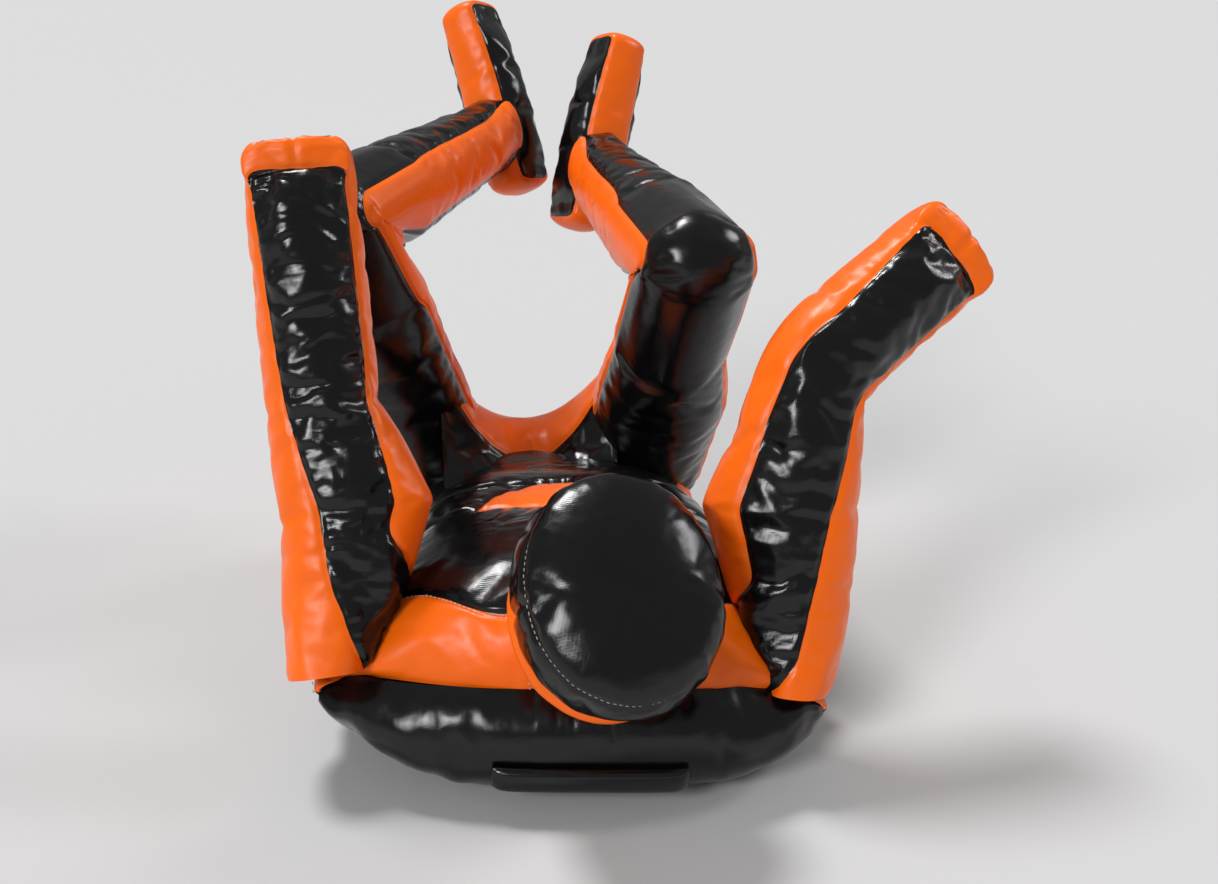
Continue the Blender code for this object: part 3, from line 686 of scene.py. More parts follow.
def arm_stations(side):
    shoulder, elbow, tip = arm_joints(side)
    upper, fore = unit(elbow - shoulder), unit(tip - elbow)
    bend = 0.055
    line = np.concatenate([[shoulder - 0.075 * upper],
                           round_corner(elbow - bend * upper, elbow, elbow + bend * fore),
                           [tip - 0.018 * fore]])
    line = even_line(line, CELL)
    stations = []
    for point, way, t in zip(line, np.gradient(line, axis=0), np.linspace(0, 1, len(line))):
        depth_way = square_to(way, ARM_FACING[side])
        width_way = outward(unit(np.cross(depth_way, way)), side)
        root = max(0, 1 - 3 * t) ** 2
        width = ARM_WIDTH + (ARM_ROOT_WIDTH - ARM_WIDTH) * root - 0.006 * t
        if side == "right":       # this arm's root is pulled in, and its forearm lies a little inward
            width -= 0.010 * root
            point = point - width_way * (0.016 * root + 0.007 * ramp(t, 0.45, 0.65))
        reach = float(outline(ARM_REACH[side], t)) / 2
        stations.append(Station(point - width_way * reach, (width + reach) * width_way,
                                (ARM_DEPTH - 0.004 * t) * depth_way))
    return stations


def arm_seams(side, places):
    """The top panel's outer and inner seams at places along the arm."""
    seam = ARM_OUTER_SEAM[side]
    outer = (seam["hand"] + (seam["plain"] - seam["hand"]) * np.clip(1 - places / seam["run"], 0, 1)
             + (seam["root"] - seam["plain"]) * np.exp(-places / seam["fade"]))
    seam = ARM_INNER_SEAM[side]
    inner = (seam["wedge"] + (seam["pinch"] - seam["wedge"]) * ramp(places, *seam["falls"])
             + (seam["hand"] - seam["pinch"]) * ramp(places, *seam["rises"]))
    return np.stack([outer, inner], axis=1)


def build_arm(side):
    shoulder, elbow, tip = arm_joints(side)
    upper, fore = unit(elbow - shoulder), unit(tip - elbow)
    stations = arm_stations(side)
    cells = 16
    places = np.linspace(0, 1, len(stations))
    seams = arm_seams(side, places)
    low = np.broadcast_to(UNDER_SEAMS, seams.shape)
    last = stations[-1]
    deep_way = unit(last.outer)

    def lean(grid):
        """The hand's end slants back from its under side to its top side."""
        deep = (grid - last.middle) @ deep_way / np.linalg.norm(last.outer)
        near = np.clip((places - 0.86) / 0.14, 0, 1)[:, None]
        front = np.clip((deep + 1) / 1.64, 0, 1)
        rise = TIP_RISE * near + TIP_BULGE * near ** 1.5 * (1 - near)
        shift = rise * (1 - front) - TIP_SLANT * near ** 1.5 * front
        return grid + fore * shift[..., None] + deep_way * (TIP_CURL * near ** 4 * (1 - front))[..., None]

    top = domed(panel_grid(stations, seams, cells, lean), fore, 0.010, cells)
    under = domed(panel_grid(stations, low, cells, lean), deep_way, 0.004, cells)
    outer = panel_grid(stations, np.stack([low[:, 1] - 360, seams[:, 0]], 1), cells, lean)
    inner = panel_grid(stations, np.stack([seams[:, 1], low[:, 0]], 1), cells, lean)
    # the outer panel runs from the under seam to the top seam, the inner one from top to under
    cross = over_tip(under[-1][::-1], top[-1], outer[-1], inner[-1][::-1], unit(last.width),
                     unit(fore + 0.6 * deep_way))
    shell = Shell()
    shell.add("arm_top", top, BLACK)
    shell.add("arm_under", under, BLACK)
    half = cells // 2
    shell.add("arm_outer", outer, ORANGE)
    shell.add("arm_outer", cross[:half + 1], ORANGE)
    shell.add("arm_inner", inner, ORANGE)
    shell.add("arm_inner", cross[half:], ORANGE)
    shell.weld().turn_out()
    shell.puff(pressure=5.0, excess=0.055, cap=0.011, bending=0.35)
    shell.refine()
    seed = 3 if side == "left" else 7
    black = 1 - shell.calm()
    shell.crinkle(upper, 0.0026 * black, 0.019, 0.060, seed)
    shell.crinkle(upper, 0.0012 * black, 0.008, 0.040, seed + 40)
    shell.gather(seed=seed, height=0.0020, pitch=0.010, crumple=0.0006)
    cut = (shoulder + elbow) / 2

    def parts(middles):
        return ((middles - cut) @ upper > 0).astype(int)

    made = pieces_of(shell, f"{side}_", parts)
    for (label, part), piece in made.items():
        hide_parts(f"{side}_{label}_panel")
        if part == 0:
            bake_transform(piece)
        else:
            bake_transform(piece)
    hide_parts(f"{side}_upper_arm_filling")
    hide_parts(f"{side}_forearm_filling")


# ------------------------------------------------------------------ legs

def leg_joints(side):
    return tuple(JOINTS[f"{side}_{name}"] for name in ("hip", "knee", "ankle"))


def foot_frame(side):
    """Heel, direction of the foot and the two directions square to it."""
    _, _, ankle = leg_joints(side)
    toeward = aim(side, FOOT_LEAN[side])
    turn = math.radians(FOOT_TURNS[side]) * SIDES[side]
    soleward = square_to(toeward, (-math.sin(turn), math.cos(turn), 0))
    sideways = outward(unit(np.cross(toeward, soleward)), side)
    heel = ankle + soleward * HEEL_DROP - toeward * HEEL_BACK
    return heel, toeward, soleward, sideways


def leg_stations(side):
    """Sections of a leg's cover, turning about the knee with a crease behind it."""
    hip, knee, ankle = leg_joints(side)
    thigh, shin = unit(knee - hip), unit(ankle - knee)
    width_way = outward(unit(np.cross(thigh, shin)), side)
    front_thigh, front_shin = square_to(thigh, -shin), square_to(shin, thigh)
    turn = math.acos(np.clip(np.dot(thigh, shin), -1, 1))
    crease = KNEE_DEPTH / math.cos(turn / 2)
    inward, slide = unit(-(front_thigh + front_shin)), unit(shin + thigh)
    reach = KNEE_DEPTH * math.tan(turn / 2)
    length = np.linalg.norm(knee - hip)
    soft = 0.024
    thigh_width = THIGH_WIDTH[side]
    knee_width = 0.076
    heel, toeward, soleward, sideways = foot_frame(side)
    end = np.dot(heel - soleward * HEEL_DROP - knee, soleward) / np.dot(shin, soleward)
    stations = []
    run = np.linspace(-0.035, length - reach - soft, int((length - reach) / CELL))
    for place in run:
        share = max(0.0, place) / (length - reach)
        depth = THIGH_DEPTH + (KNEE_DEPTH - THIGH_DEPTH) * share
        full = float(ramp(share, 0.92, 0.55))
        root = 0.62 + 0.38 * float(ramp(place, -0.035, 0.030))
        width = knee_width + (thigh_width - knee_width) * full
        stations.append(Station(hip + thigh * place + width_way * THIGH_OUT[side] * full,
                                width * root * width_way, depth * root * front_thigh,
                                boxiness=LEG_BOXINESS))
    for share in np.linspace(0, 1, int(KNEE_DEPTH * turn / CELL) + 3):
        angle = turn * share
        front = front_thigh * math.cos(angle) + thigh * math.sin(angle)
        deep = 0.90 - 0.05 * math.cos(2 * math.pi * share)
        inner = inward * crease * deep + slide * (share - 0.5) * 0.034
        stations.append(Station(knee, knee_width * width_way, KNEE_DEPTH * unit(front), inner, LEG_BOXINESS))
    run = np.linspace(reach + soft, end, int((end - reach) / CELL))
    slant = ANKLE_DEPTH / max(0.75, abs(np.dot(toeward, front_shin)))
    for place in run:
        share = (place - reach) / (end - reach)
        depth = KNEE_DEPTH + (ANKLE_DEPTH - KNEE_DEPTH) * share ** 0.8
        width = knee_width + (ANKLE_WIDTH - knee_width) * share ** 0.8
        near = float(ramp(share, 0.72, 1.0))
        wide = unit(width_way * (1 - near) + sideways * near) * width
        deep = (front_shin * (1 - near) * depth + toeward * near * slant)
        stations.append(Station(knee + shin * place, wide, deep, boxiness=LEG_BOXINESS))
    return stations


def build_leg(side):
    hip, knee, ankle = leg_joints(side)
    thigh, shin = unit(knee - hip), unit(ankle - knee)
    stations = leg_stations(side)
    shell = Shell()
    cells = 18
    seams = smooth_run(LEG_SEAMS[side], np.linspace(0, 1, len(stations)))
    low = np.broadcast_to(UNDER_SEAMS, seams.shape)
    for label, ends, look in (("leg_front", seams, BLACK), ("leg_back", low, BLACK),
                              ("leg_outer", np.stack([low[:, 1] - 360, seams[:, 0]], 1), ORANGE),
                              ("leg_inner", np.stack([seams[:, 1], low[:, 0]], 1), ORANGE)):
        shell.add(label, panel_grid(stations, ends, cells), look)
    shell.weld().turn_out()
    turn = math.acos(np.clip(np.dot(thigh, shin), -1, 1))
    inward = unit(-(square_to(thigh, -shin) + square_to(shin, thigh)))
    crease = knee + inward * KNEE_DEPTH / math.cos(turn / 2)
    width_way = unit(np.cross(thigh, shin))

    def hold(points):
        offset = points - crease
        offset = offset - np.outer(offset @ width_way, width_way)
        return np.clip(1.3 - np.linalg.norm(offset, axis=1) / 0.05, 0, 1)

    shell.puff(pressure=5.0, excess=0.035, cap=0.010, bending=0.5, hold=hold)
    shell.refine()
    seed = 13 if side == "left" else 17
    bent = np.exp(-np.linalg.norm(shell.points - knee, axis=1) / 0.12)
    shell.crinkle(thigh, 0.0016 * bent, 0.016, 0.050, seed)
    shell.gather(seed=seed, height=0.0020, pitch=0.011, crumple=0.0006)
    cuts = ((hip + (knee - hip) * 0.42, thigh), (knee + (ankle - knee) * 0.52, shin))
    bisector = unit(thigh + shin)

    def parts(middles):
        after_knee = (middles - knee) @ bisector > 0
        low = (~after_knee) & ((middles - cuts[0][0]) @ cuts[0][1] < 0)
        high = after_knee & ((middles - cuts[1][0]) @ cuts[1][1] > 0)
        return np.where(low, 0, np.where(high, 2, 1))

    made = pieces_of(shell, f"{side}_", parts)
    for (label, part), piece in made.items():
        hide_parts(f"{side}_{label}_panel")
        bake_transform(piece)
    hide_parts(f"{side}_thigh_filling")
    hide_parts(f"{side}_shin_filling")


# ------------------------------------------------------------------ feet

def foot_stations(side):
    heel, toeward, soleward, sideways = foot_frame(side)
    stations = []
    for share in np.linspace(0.045, 0.94, int(FOOT * 0.9 / CELL)):
        instep = 0.045 + 0.008 * math.exp(-((share - 0.24) / 0.20) ** 2)
        width = FOOT_WIDTH * (0.88 + 0.15 * math.sin(math.pi * share ** 0.8))
        stations.append(Station(heel + toeward * FOOT * share, sideways * width,
                                -soleward * instep, soleward * (0.048 - 0.006 * share)))
    return stations


def build_foot(side):
    _, toeward, soleward, _ = foot_frame(side)
    stations = foot_stations(side)
    cells = 12
    outer, instep, inner, sole = (panel_grid(stations, [(a - 45, a + 45)] * len(stations), cells)
                                  for a in (0, 90, 180, 270))
    outer = domed(outer, toeward, 0.014, cells, 0.012)
    inner = domed(inner, toeward, 0.014, cells, 0.012)
    shell = Shell()
    shell.add("foot_outer_side", outer, BLACK)
    shell.add("foot_inner_side", inner, BLACK)
    shell.add("foot_strip", instep, ORANGE)
    shell.add("foot_strip", sole, ORANGE)
    # the instep runs from the outer seam to the inner one, the outer side from sole to instep
    for k, way in ((-1, toeward), (0, -toeward)):
        shell.add("foot_strip", over_tip(outer[k][::-1], inner[k], instep[k], sole[k][::-1], -soleward, way),
                  ORANGE)
    shell.weld().turn_out()
    shell.puff(pressure=5.0, excess=0.04, cap=0.008, bending=0.4)
    shell.refine()
    shell.gather(seed=23 if side == "left" else 29, height=0.0018, pitch=0.010, crumple=0.0006)
    made = pieces_of(shell, f"{side}_")
    for (label, _), piece in made.items():
        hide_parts(f"{side}_{label}_panel")
        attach(piece, f"{side}_foot")
    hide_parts(f"{side}_foot_filling")


# ------------------------------------------------------------------ trunk

BACK_CORNER = 0.300
BACK_PROFILE = [(-0.350, 0.128), (-0.377, 0.104), (-0.388, 0.070), (-0.380, 0.035),
                (-0.350, 0.009), (-0.305, 0.0), (-0.20, 0.0), (-0.095, 0.0), (0.0, 0.0),
                (0.095, 0.0), (0.19, 0.0), (0.275, 0.0), (0.325, 0.011), (0.358, 0.040),
                (0.372, 0.080), (0.370, 0.116)]
BACK_WIDTHS = [(-0.39, BACK_CORNER), (-0.20, BACK_CORNER), (-0.06, 0.232), (0.05, 0.208),
               (0.20, 0.212), (0.30, 0.222), (0.372, 0.160)]
FLAT_SHARE = 0.24


def twisted(points):
    """The soft trunk lies with its shoulder line turned: the right side is further out."""
    points = np.array(points, float)
    share = ramp(points[..., 1], 0.02, -0.22)
    points[..., 1] -= points[..., 0] * SHOULDER_TURN * share
    return points


def back_surface(row, share):
    """Points of the back: row is a place along the profile, share runs -1 to 1 across."""
    row, share = np.broadcast_arrays(np.asarray(row, float), np.asarray(share, float))
    shape = row.shape
    row, share = row.reshape(-1), share.reshape(-1)
    table = np.array([(i, y, z) for i, (y, z) in enumerate(BACK_PROFILE)])
    profile = smooth_run(table, row)
    y, z = profile[:, 0].copy(), np.maximum(profile[:, 1], 0.0)
    half = outline(BACK_WIDTHS, y)
    out = np.maximum(0.0, (np.abs(share) - FLAT_SHARE) / (1 - FLAT_SHARE))
    front = ramp(y, -0.16, -0.30)
    side = np.sign(share)
    edge = 0.074 - 0.012 * front + 0.22 * front * z - 0.012 * front * side
    z = np.where((z < edge) | (front > 0), z + (edge - z) * out ** 3, z)
    y = y + 0.095 * front * np.abs(share) ** 3.5
    lean = np.where(share < 0, 1.0, 1 - 0.12 * front)
    points = twisted(np.stack([share * half * lean, y, z], axis=1))
    return points.reshape(*shape, 3)


def rim_row(t):
    """The place along the back's profile where the trunk's upper side meets it."""
    return np.interp(t, [0.0, 0.09, 0.22, 0.38, 0.55, 0.80, 0.92, 1.0],
                     [0.0, 4.0, 6.0, 7.4, 8.6, 10.8, 12.6, 15.0])


def slanted(t, share):
    """The seam above the yokes runs back towards the arms."""
    return t + 0.07 * ramp(np.abs(share), 0.30, 0.65) * np.interp(t, [0.0, 0.10, 0.385], [0, 1, 0])


def top_point(t, share):
    """Points of the trunk's upper side: t runs 0 to 1 from the neck to the crotch."""
    t, share = np.broadcast_arrays(np.asarray(t, float), np.asarray(share, float))
    shape = t.shape
    t, share = t.reshape(-1), share.reshape(-1)
    # middle line: (t, y, z); its ends are the back's front and rear edges
    middle = smooth_run([(0.0, -0.350, 0.128), (0.045, -0.346, 0.165), (0.09, -0.328, 0.198),
                         (0.14, -0.300, 0.218), (0.22, -0.245, 0.232), (0.38, -0.105, 0.234),
                         (0.55, 0.050, 0.212), (0.66, 0.140, 0.186), (0.80, 0.250, 0.176),
                         (0.90, 0.320, 0.164), (0.96, 0.356, 0.144), (1.0, 0.370, 0.116)], t)
    row = rim_row(t)
    rim = back_surface(row, np.where(share < 0, -1.0, 1.0))
    plain = np.stack([np.zeros_like(t), middle[:, 0], middle[:, 1]], axis=1)
    plain = twisted(plain)
    s = np.abs(share)
    power = np.interp(t, [0.0, 0.09, 0.25, 0.45, 1.0], [2.6, 2.6, 2.4, 4.0, 4.0])
    rise = (1 - s ** power) ** np.interp(t, [0.0, 0.1, 0.3, 0.45, 1.0], [0.9, 0.75, 0.75, 0.55, 0.55])
    slide = s ** np.interp(t, [0.0, 0.1, 0.4, 1.0], [3.0, 2.4, 2.0, 2.0])
    x = rim[:, 0] * s
    turned = SHOULDER_TURN * ramp(plain[:, 1], 0.02, -0.22) * x * (1 - slide)
    y = plain[:, 1] * (1 - slide) + rim[:, 1] * slide - turned
    z = rim[:, 2] * (1 - rise) + plain[:, 2] * rise
    return np.stack([x, y, z], axis=1).reshape(*shape, 3)


def block(surface, lines_u, shares_low, shares_high, cells):
    """A grid between two lines of shares over a run of places."""
    u = np.asarray(lines_u)[:, None]
    low = np.broadcast_to(np.asarray(shares_low), (len(lines_u),))[:, None]
    high = np.broadcast_to(np.asarray(shares_high), (len(lines_u),))[:, None]
    across = np.linspace(0, 1, cells + 1)[None, :]
    return surface(np.broadcast_to(u, (len(lines_u), cells + 1)), low + (high - low) * across)


def build_trunk():
    shell = Shell()
    bands = {"yoke": (0.0, 0.10), "chest": (0.10, 0.385), "belly": (0.385, 0.495),
             "pelvis": (0.495, 1.0)}
    runs = {name: np.linspace(a, b, int((b - a) * 0.92 / CELL) + 2) for name, (a, b) in bands.items()}

    # seam lines across the top, as shares of the half width: the collar's gap, the flank, the rim
    def flank(t):
        return np.interp(t, [0.0, 0.10, 0.22, 0.385, 0.55, 0.8, 1.0],
                         [0.62, 0.62, 0.60, 0.80, 0.88, 0.86, 0.80])

    def lines(t):
        belly = np.interp(t, [0.0, 0.10, 0.25, 0.385, 0.42, 0.455, 0.48, 0.495, 0.60],
                          [0.20, 0.20, 0.42, 0.48, 0.43, 0.34, 0.22, 0.12, 0.40])
        return [-1.0, -flank(t), -belly, belly, flank(t), 1.0]

    counts = [8, 12, 44, 12, 8]
    for name, run in runs.items():
        edges = [np.broadcast_to(np.asarray(v, float), run.shape) for v in lines(run)]
        for k, cells in enumerate(counts):
            grid = block(lambda t, s: top_point(slanted(t, s), s), run, edges[k], edges[k + 1], cells)
            side = "left" if k < 2 else "right"
            if name == "yoke":
                label, look = (("chest_panel", BLACK) if k == 2 else (f"{side}_shoulder_yoke", ORANGE))
            elif name == "chest":
                label, look = ("chest_panel", BLACK)
            elif k in (0, 4):
                label, look = f"{side}_flank_gusset", ORANGE
            elif name == "belly":
                label, look = ("abdomen_panel", ORANGE) if k == 2 else (f"{side}_waist_panel", BLACK)
            else:
                label, look = "pelvis_panel", BLACK
            shell.add(label, grid, look)
    # the back, sharing the rim with the top
    top_rim = np.concatenate([run if i == 0 else run[1:] for i, run in enumerate(runs.values())])
    rim_rows = rim_row(slanted(top_rim, 1.0))

    def across(t):
        edge = lines(np.array(t))
        return np.concatenate([np.linspace(edge[k], edge[k + 1], c + 1)[(k > 0):]
                               for k, c in enumerate(counts)])

    front, back = across(0.0), across(1.0)
    share = np.clip((rim_rows / (len(BACK_PROFILE) - 1))[:, None], 0, 1)
    grid_shares = front[None, :] * (1 - share) + back[None, :] * share
    rows = np.broadcast_to(rim_rows[:, None], grid_shares.shape)
    shell.add("back_panel", back_surface(rows, grid_shares), BLACK)
    shell.weld().turn_out()

    def hold(p):
        """The part that rests on the floor, and the seat of the closure."""
        floor = np.clip(1 - (p[:, 2] - 0.002) / 0.03, 0, 1)
        seat = ramp(p[:, 1], -0.32, -0.34) * ramp(np.abs(p[:, 0]), 0.16, 0.12) * ramp(p[:, 2], 0.10, 0.08)
        return np.maximum(floor, seat)

    shell.puff(pressure=3.0, excess=0.045, cap=0.011, bending=0.5, hold=hold)
    shell.refine()
    free = 1 - hold(shell.points)
    black = 1 - shell.calm()
    shell.crinkle((0, 1, 0), 0.0020 * black * free, 0.022, 0.070, 33)
    shell.gather(seed=31, height=0.0026, reach=0.026, pitch=0.012, only=lambda p: free)
    shell.points[:, 2] = np.maximum(shell.points[:, 2], 0.0)
    made = pieces_of(shell, "cover_")
    yokes = [(f"{side}_shoulder_yoke", other) for side in SIDES for other in ("chest_panel", "back_panel")]
    stitches(shell, "trunk_stitches", yokes, "trunk")
    for (label, _), piece in made.items():
        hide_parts(label)
        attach(piece, "trunk")
    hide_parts("trunk_filling")


CROTCH_MIDDLE = -0.030    # where the crotch is lowest
CROTCH_HALF = 0.120       # half the width of its cover
CROTCH_SEAM = (0.182, 0.144)   # height at the middle, and how much higher it is at the sides
CROTCH_RIDGE = (0.214, 0.089)


def crotch_line(across, low, rise):
    """A line that hangs between the thighs."""
    return low + rise * ((across - CROTCH_MIDDLE) / CROTCH_HALF) ** 2


def build_crotch():
    """The gusset that rides up between the thighs, and the pelvis panel that rises to meet it."""
    across = np.linspace(CROTCH_MIDDLE - CROTCH_HALF, CROTCH_MIDDLE + CROTCH_HALF, 42)
    seam, ridge = crotch_line(across, *CROTCH_SEAM), crotch_line(across, *CROTCH_RIDGE)
    middle = across + 0.025

    def sheet(rows, count):
        """A sheet through rows of (y, heights, share of the full width)."""
        places = np.linspace(0, 1, len(rows))
        table = np.array([np.concatenate([[place, y], heights, middle * share - 0.025])
                          for place, (y, heights, share) in zip(places, rows)])
        found = smooth_run(table, np.linspace(0, 1, count))
        columns = len(across)
        return np.stack([found[:, 1 + columns:], np.repeat(found[:, :1], columns, 1),
                         found[:, 1:1 + columns]], -1)

    flat = np.ones(len(across))
    shell = Shell()
    shell.add("crotch_gusset", sheet([(0.200, seam, 1.0), (0.234, (seam + ridge) / 2 + 0.006, 1.0),
                                      (0.270, ridge, 1.0), (0.312, 0.45 * ridge + 0.110, 0.86),
                                      (0.345, 0.12 * ridge + 0.142, 0.66), (0.366, 0.132 * flat, 0.54),
                                      (0.374, 0.105 * flat, 0.50)], 30), ORANGE)
    shell.add("pelvis_rise", sheet([(0.130, 0.170 * flat, 1.0), (0.165, 0.176 + 0.33 * (seam - 0.182), 1.0),
                                    (0.200, seam, 1.0)], 12), BLACK)
    shell.weld().turn_out()
    shell.puff(pressure=2.0, excess=0.05, cap=0.006, bending=0.4)
    shell.refine()
    shell.gather(seed=53, sink=0.0022, height=0.0014, reach=0.020, pitch=0.011)
    for (label, _), made in pieces_of(shell, "cover_").items():
        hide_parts("crotch_gusset" if label == "crotch_gusset" else "pelvis_panel")
        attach(made, "trunk")


# ------------------------------------------------------------------ head

HEAD_LEAN, HEAD_TURN = 42, 9
HEAD_BOXINESS = 2.08
HEAD_SECTIONS = [(0.040, 0.066, 0.080), (0.078, 0.084, 0.094), (0.094, 0.093, 0.104),
                 (0.102, 0.097, 0.108), (0.118, 0.102, 0.115), (0.138, 0.105, 0.121),
                 (0.160, 0.105, 0.122), (0.178, 0.098, 0.117)]


def head_axis():
    rise, turn = math.radians(HEAD_LEAN), math.radians(HEAD_TURN)
    return vec(math.cos(rise) * math.sin(turn), -math.cos(rise) * math.cos(turn), math.sin(rise))


def head_station(place):
    axis = head_axis()
    top = square_to(axis, (0, 0, 1))
    side = unit(np.cross(top, axis))
    if side[0] < 0:
        side = -side
    half, deep = smooth_run(HEAD_SECTIONS, [place])[0]
    return Station(JOINTS["neck"] + axis * place, side * half, top * deep, boxiness=HEAD_BOXINESS)


def build_head():
    axis = head_axis()
    shell = Shell()
    cells = 96
    full = np.linspace(0, 2 * math.pi, cells + 1)
    half = np.linspace(0, math.pi, cells // 2 + 1)

    def rows(start, end, angles, swell=None):
        places = np.linspace(start, end, int((end - start) / CELL) + 2)
        grid = np.array([head_station(s).points(angles) for s in places])
        if swell is not None:
            for row, place in zip(grid, places):
                swell(row, place)
        return grid

    rim = head_station(0.178)

    def roll(row, place):
        """The collar swells out under the head's wall, most at its lower left."""
        station = head_station(place)
        share = math.sin(math.pi * min(1.0, (0.1035 - place) / 0.045)) ** 0.7 if place < 0.1035 else 0.0
        way = row - station.middle
        row += way / np.linalg.norm(way, axis=1)[:, None] * 0.009 * share
        row -= (unit(rim.width) * 0.007 + unit(rim.outer) * 0.007) * float(ramp(place, 0.1035, 0.085))

    shell.add("neck_collar", rows(0.050, 0.1035, full, roll), ORANGE)
    shell.add("head_front_panel", rows(0.1035, 0.178, half), BLACK)
    shell.add("head_back_panel", rows(0.1035, 0.178, half + math.pi), BLACK)
    dome = []
    for turn in np.linspace(0, math.pi / 2, 17):
        station = Station(rim.middle + axis * 0.034 * math.sin(turn), rim.width * math.cos(turn),
                          rim.outer * math.cos(turn), boxiness=HEAD_BOXINESS)
        dome.append(station.points(full))
    shell.add("head_crown_panel", dome, BLACK)
    shell.weld().turn_out()
    shell.puff(pressure=4.0, excess=0.035, cap=0.007, bending=0.4)
    shell.refine()
    shell.gather(sink=0.0036, seed=41, height=0.0046, reach=0.030, pitch=0.012)
    made = pieces_of(shell, "cover_")
    stitches(shell, "head_stitches", [("head_front_panel", "head_crown_panel"),
                                      ("head_back_panel", "head_crown_panel"),
                                      ("neck_collar", "head_front_panel"),
                                      ("neck_collar", "head_back_panel")], "head")
    for (label, _), piece in made.items():
        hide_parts(label)
        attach(piece, "head")
    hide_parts("head_filling")


# ------------------------------------------------------------------ closure

FLAP_ROWS, FLAP_SHARE = (2.35, 3.15), 0.36     # the flap's reach along and across the back
TAPE_ROWS, TAPE_SHARE = (2.55, 2.95), 0.30
TEETH_ROW, TEETH_SHARE = 2.75, 0.285


def front_patch(rows, shares):
    """Points of the back over rows and shares, and the way out of it at each."""
    grid = back_surface(np.asarray(rows)[:, None], np.asarray(shares)[None, :])
    out = np.cross(np.gradient(grid, axis=0), np.gradient(grid, axis=1))
    out /= np.linalg.norm(out, axis=2)[..., None]
    return grid, -out if out[..., 1].mean() > 0 else out


def band(label, rows, shares, proud, look, thickness, node, body):
    """A flat strip of cloth on the back, with its thickness."""
    grid, out = front_patch(rows, shares)
    shell = Shell()
    shell.add(label, grid + out * proud[..., None], look)
    shell.weld().refine()
    made = pieces_of(shell, "cover_")[label, 0]
    solid = made.modifiers.new("thick", "SOLIDIFY")
    solid.thickness = thickness
    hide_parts(node)
    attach(made, body)


def zip_teeth():
    """Interlocking teeth along the middle of the tape."""
    count = 150
    grid, out = front_patch([TEETH_ROW - 0.05, TEETH_ROW, TEETH_ROW + 0.05],
                            np.linspace(-TEETH_SHARE, TEETH_SHARE, count))
    middles, ways, outs = grid[1], np.gradient(grid[1], axis=0), out[1]
    points, faces = [], []
    box = [(0, 1, 3, 2), (4, 6, 7, 5), (0, 4, 5, 1), (2, 3, 7, 6), (0, 2, 6, 4), (1, 5, 7, 3)]
    for k, (middle, way, up) in enumerate(zip(middles, ways, outs)):
        way = unit(way)
        aside = unit(np.cross(up, way))
        middle = middle + up * 0.0023 + aside * 0.0007 * (-1) ** k
        shift = len(points)
        points += [middle + way * a * 0.00042 + aside * b * 0.0016 + up * c * 0.0007
                   for a in (-1, 1) for b in (-1, 1) for c in (-1, 1)]
        faces += [[shift + v for v in face] for face in box]
    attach(piece_from("zip_teeth", np.array(points), faces, METAL), "trunk")


def build_closure():
    """The zip on the lower front of the back, and the flap that covers it."""
    edge = (1 - np.abs(np.linspace(-1, 1, 22)) ** 8)[:, None] * (1 - np.abs(np.linspace(-1, 1, 60)) ** 20)
    band("closure_flap", np.linspace(*FLAP_ROWS, 22), np.linspace(-FLAP_SHARE, FLAP_SHARE, 60),
         0.0030 + 0.0072 * edge, BLACK, 0.002, "closure_flap", "closure_flap")
    band("zip_tape", np.linspace(*TAPE_ROWS, 9), np.linspace(-TAPE_SHARE, TAPE_SHARE, 60),
         np.full((9, 60), 0.0017), TAPE, 0.001, "zip_tape", "trunk")
    zip_teeth()
    for name in ("zip_slider", "zip_pull_tab"):
        node = frame["nodes"][name]
        node.data.materials.clear()
        node.data.materials.append(METAL)


# ------------------------------------------------------------------ studio

def softbox(name, way, power, wide):
    light = bpy.data.lights.new(name, "SUN")
    light.energy = power
    light.angle = math.radians(wide)
    show(name, light).rotation_euler = (-Vector(way)).to_track_quat("-Z", "Y").to_euler()


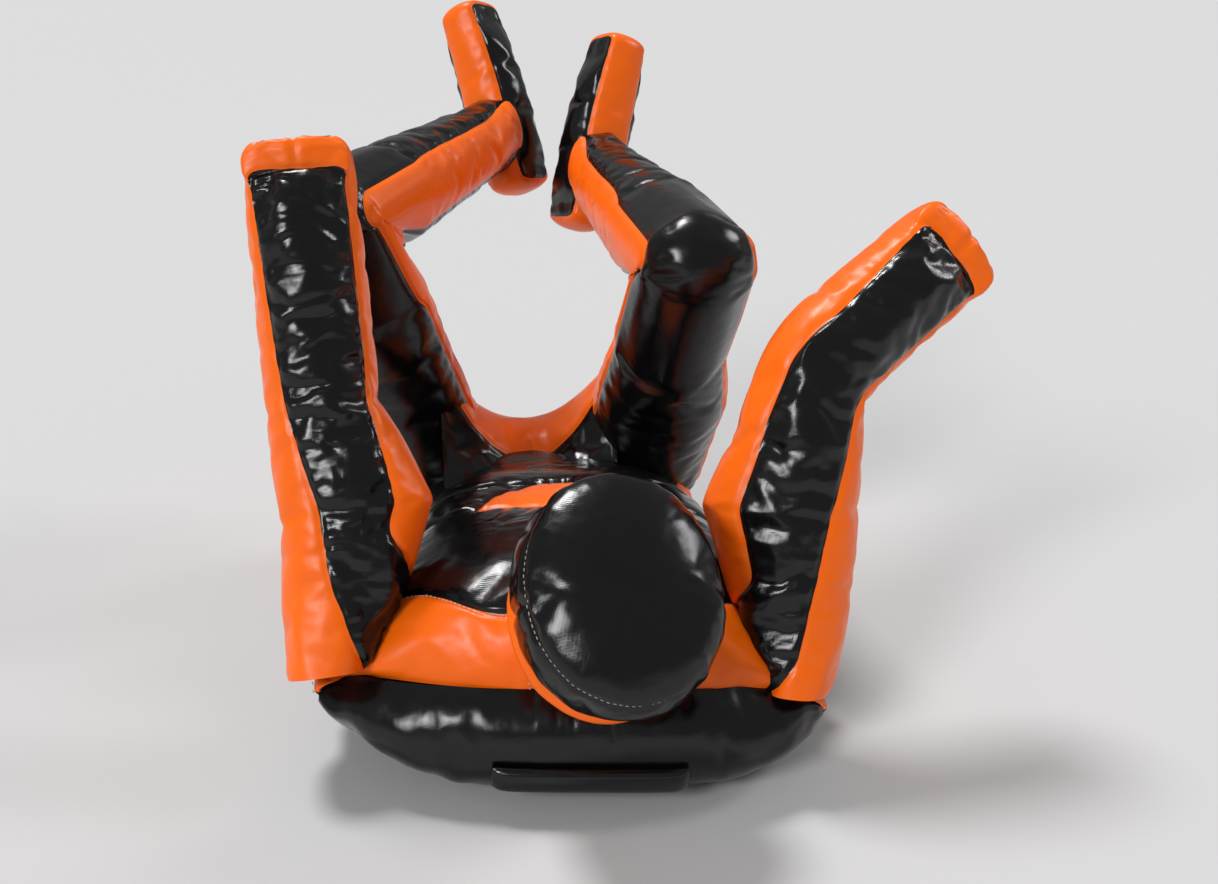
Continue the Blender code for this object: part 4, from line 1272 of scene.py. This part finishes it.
def build_studio():
    mesh = bpy.data.meshes.new("floor")
    wide = 30
    mesh.from_pydata([(-wide, -wide, -0.002), (wide, -wide, -0.002), (wide, wide, -0.002),
                      (-wide, wide, -0.002)], [], [(0, 1, 2, 3)])
    floor = show("floor", mesh)
    look = bpy.data.materials.new("floor_grey")
    look.use_nodes = True
    shader = look.node_tree.nodes["Principled BSDF"]
    shader.inputs["Base Color"].default_value = (0.57, 0.57, 0.575, 1)
    shader.inputs["Roughness"].default_value = 0.9
    mesh.materials.append(look)
    world = bpy.data.worlds.new("studio")
    world.use_nodes = True
    tree = world.node_tree
    plain = tree.nodes["Background"]
    plain.inputs["Color"].default_value = (1, 1, 1, 1)
    plain.inputs["Strength"].default_value = 0.27
    seen = tree.nodes.new("ShaderNodeBackground")
    seen.inputs["Color"].default_value = (0.70, 0.70, 0.70, 1)
    path, mix = tree.nodes.new("ShaderNodeLightPath"), tree.nodes.new("ShaderNodeMixShader")
    tree.links.new(path.outputs["Is Camera Ray"], mix.inputs["Fac"])
    tree.links.new(plain.outputs["Background"], mix.inputs[1])
    tree.links.new(seen.outputs["Background"], mix.inputs[2])
    tree.links.new(mix.outputs["Shader"], tree.nodes["World Output"].inputs["Surface"])
    bpy.context.scene.world = world
    # wide suns: they light the floor evenly and show as softboxes in the gloss
    softbox("overhead", (-0.25, 0.40, 1.0), 2.1, 15)
    softbox("front_left", (-0.9, -1.0, 0.75), 1.6, 17)
    softbox("right", (1.2, 0.2, 0.9), 0.7, 16)
    camera = bpy.data.cameras.new("camera")
    camera.sensor_width = 36
    camera.lens = 39.31
    camera.clip_end = 200
    made = bpy.data.objects.new("camera", camera)
    made.location = (-0.132, -1.566, 0.85)
    made.rotation_euler = Vector((0.1145, 0.9327, -0.3420)).to_track_quat("-Z", "Y").to_euler()
    bpy.context.scene.collection.objects.link(made)
    bpy.context.scene.camera = made
    bpy.context.scene.view_settings.view_transform = "Standard"


build_studio()
build_trunk()
build_crotch()
build_head()
build_closure()
for arm_side in SIDES:
    build_arm(arm_side)
    build_leg(arm_side)
    build_foot(arm_side)
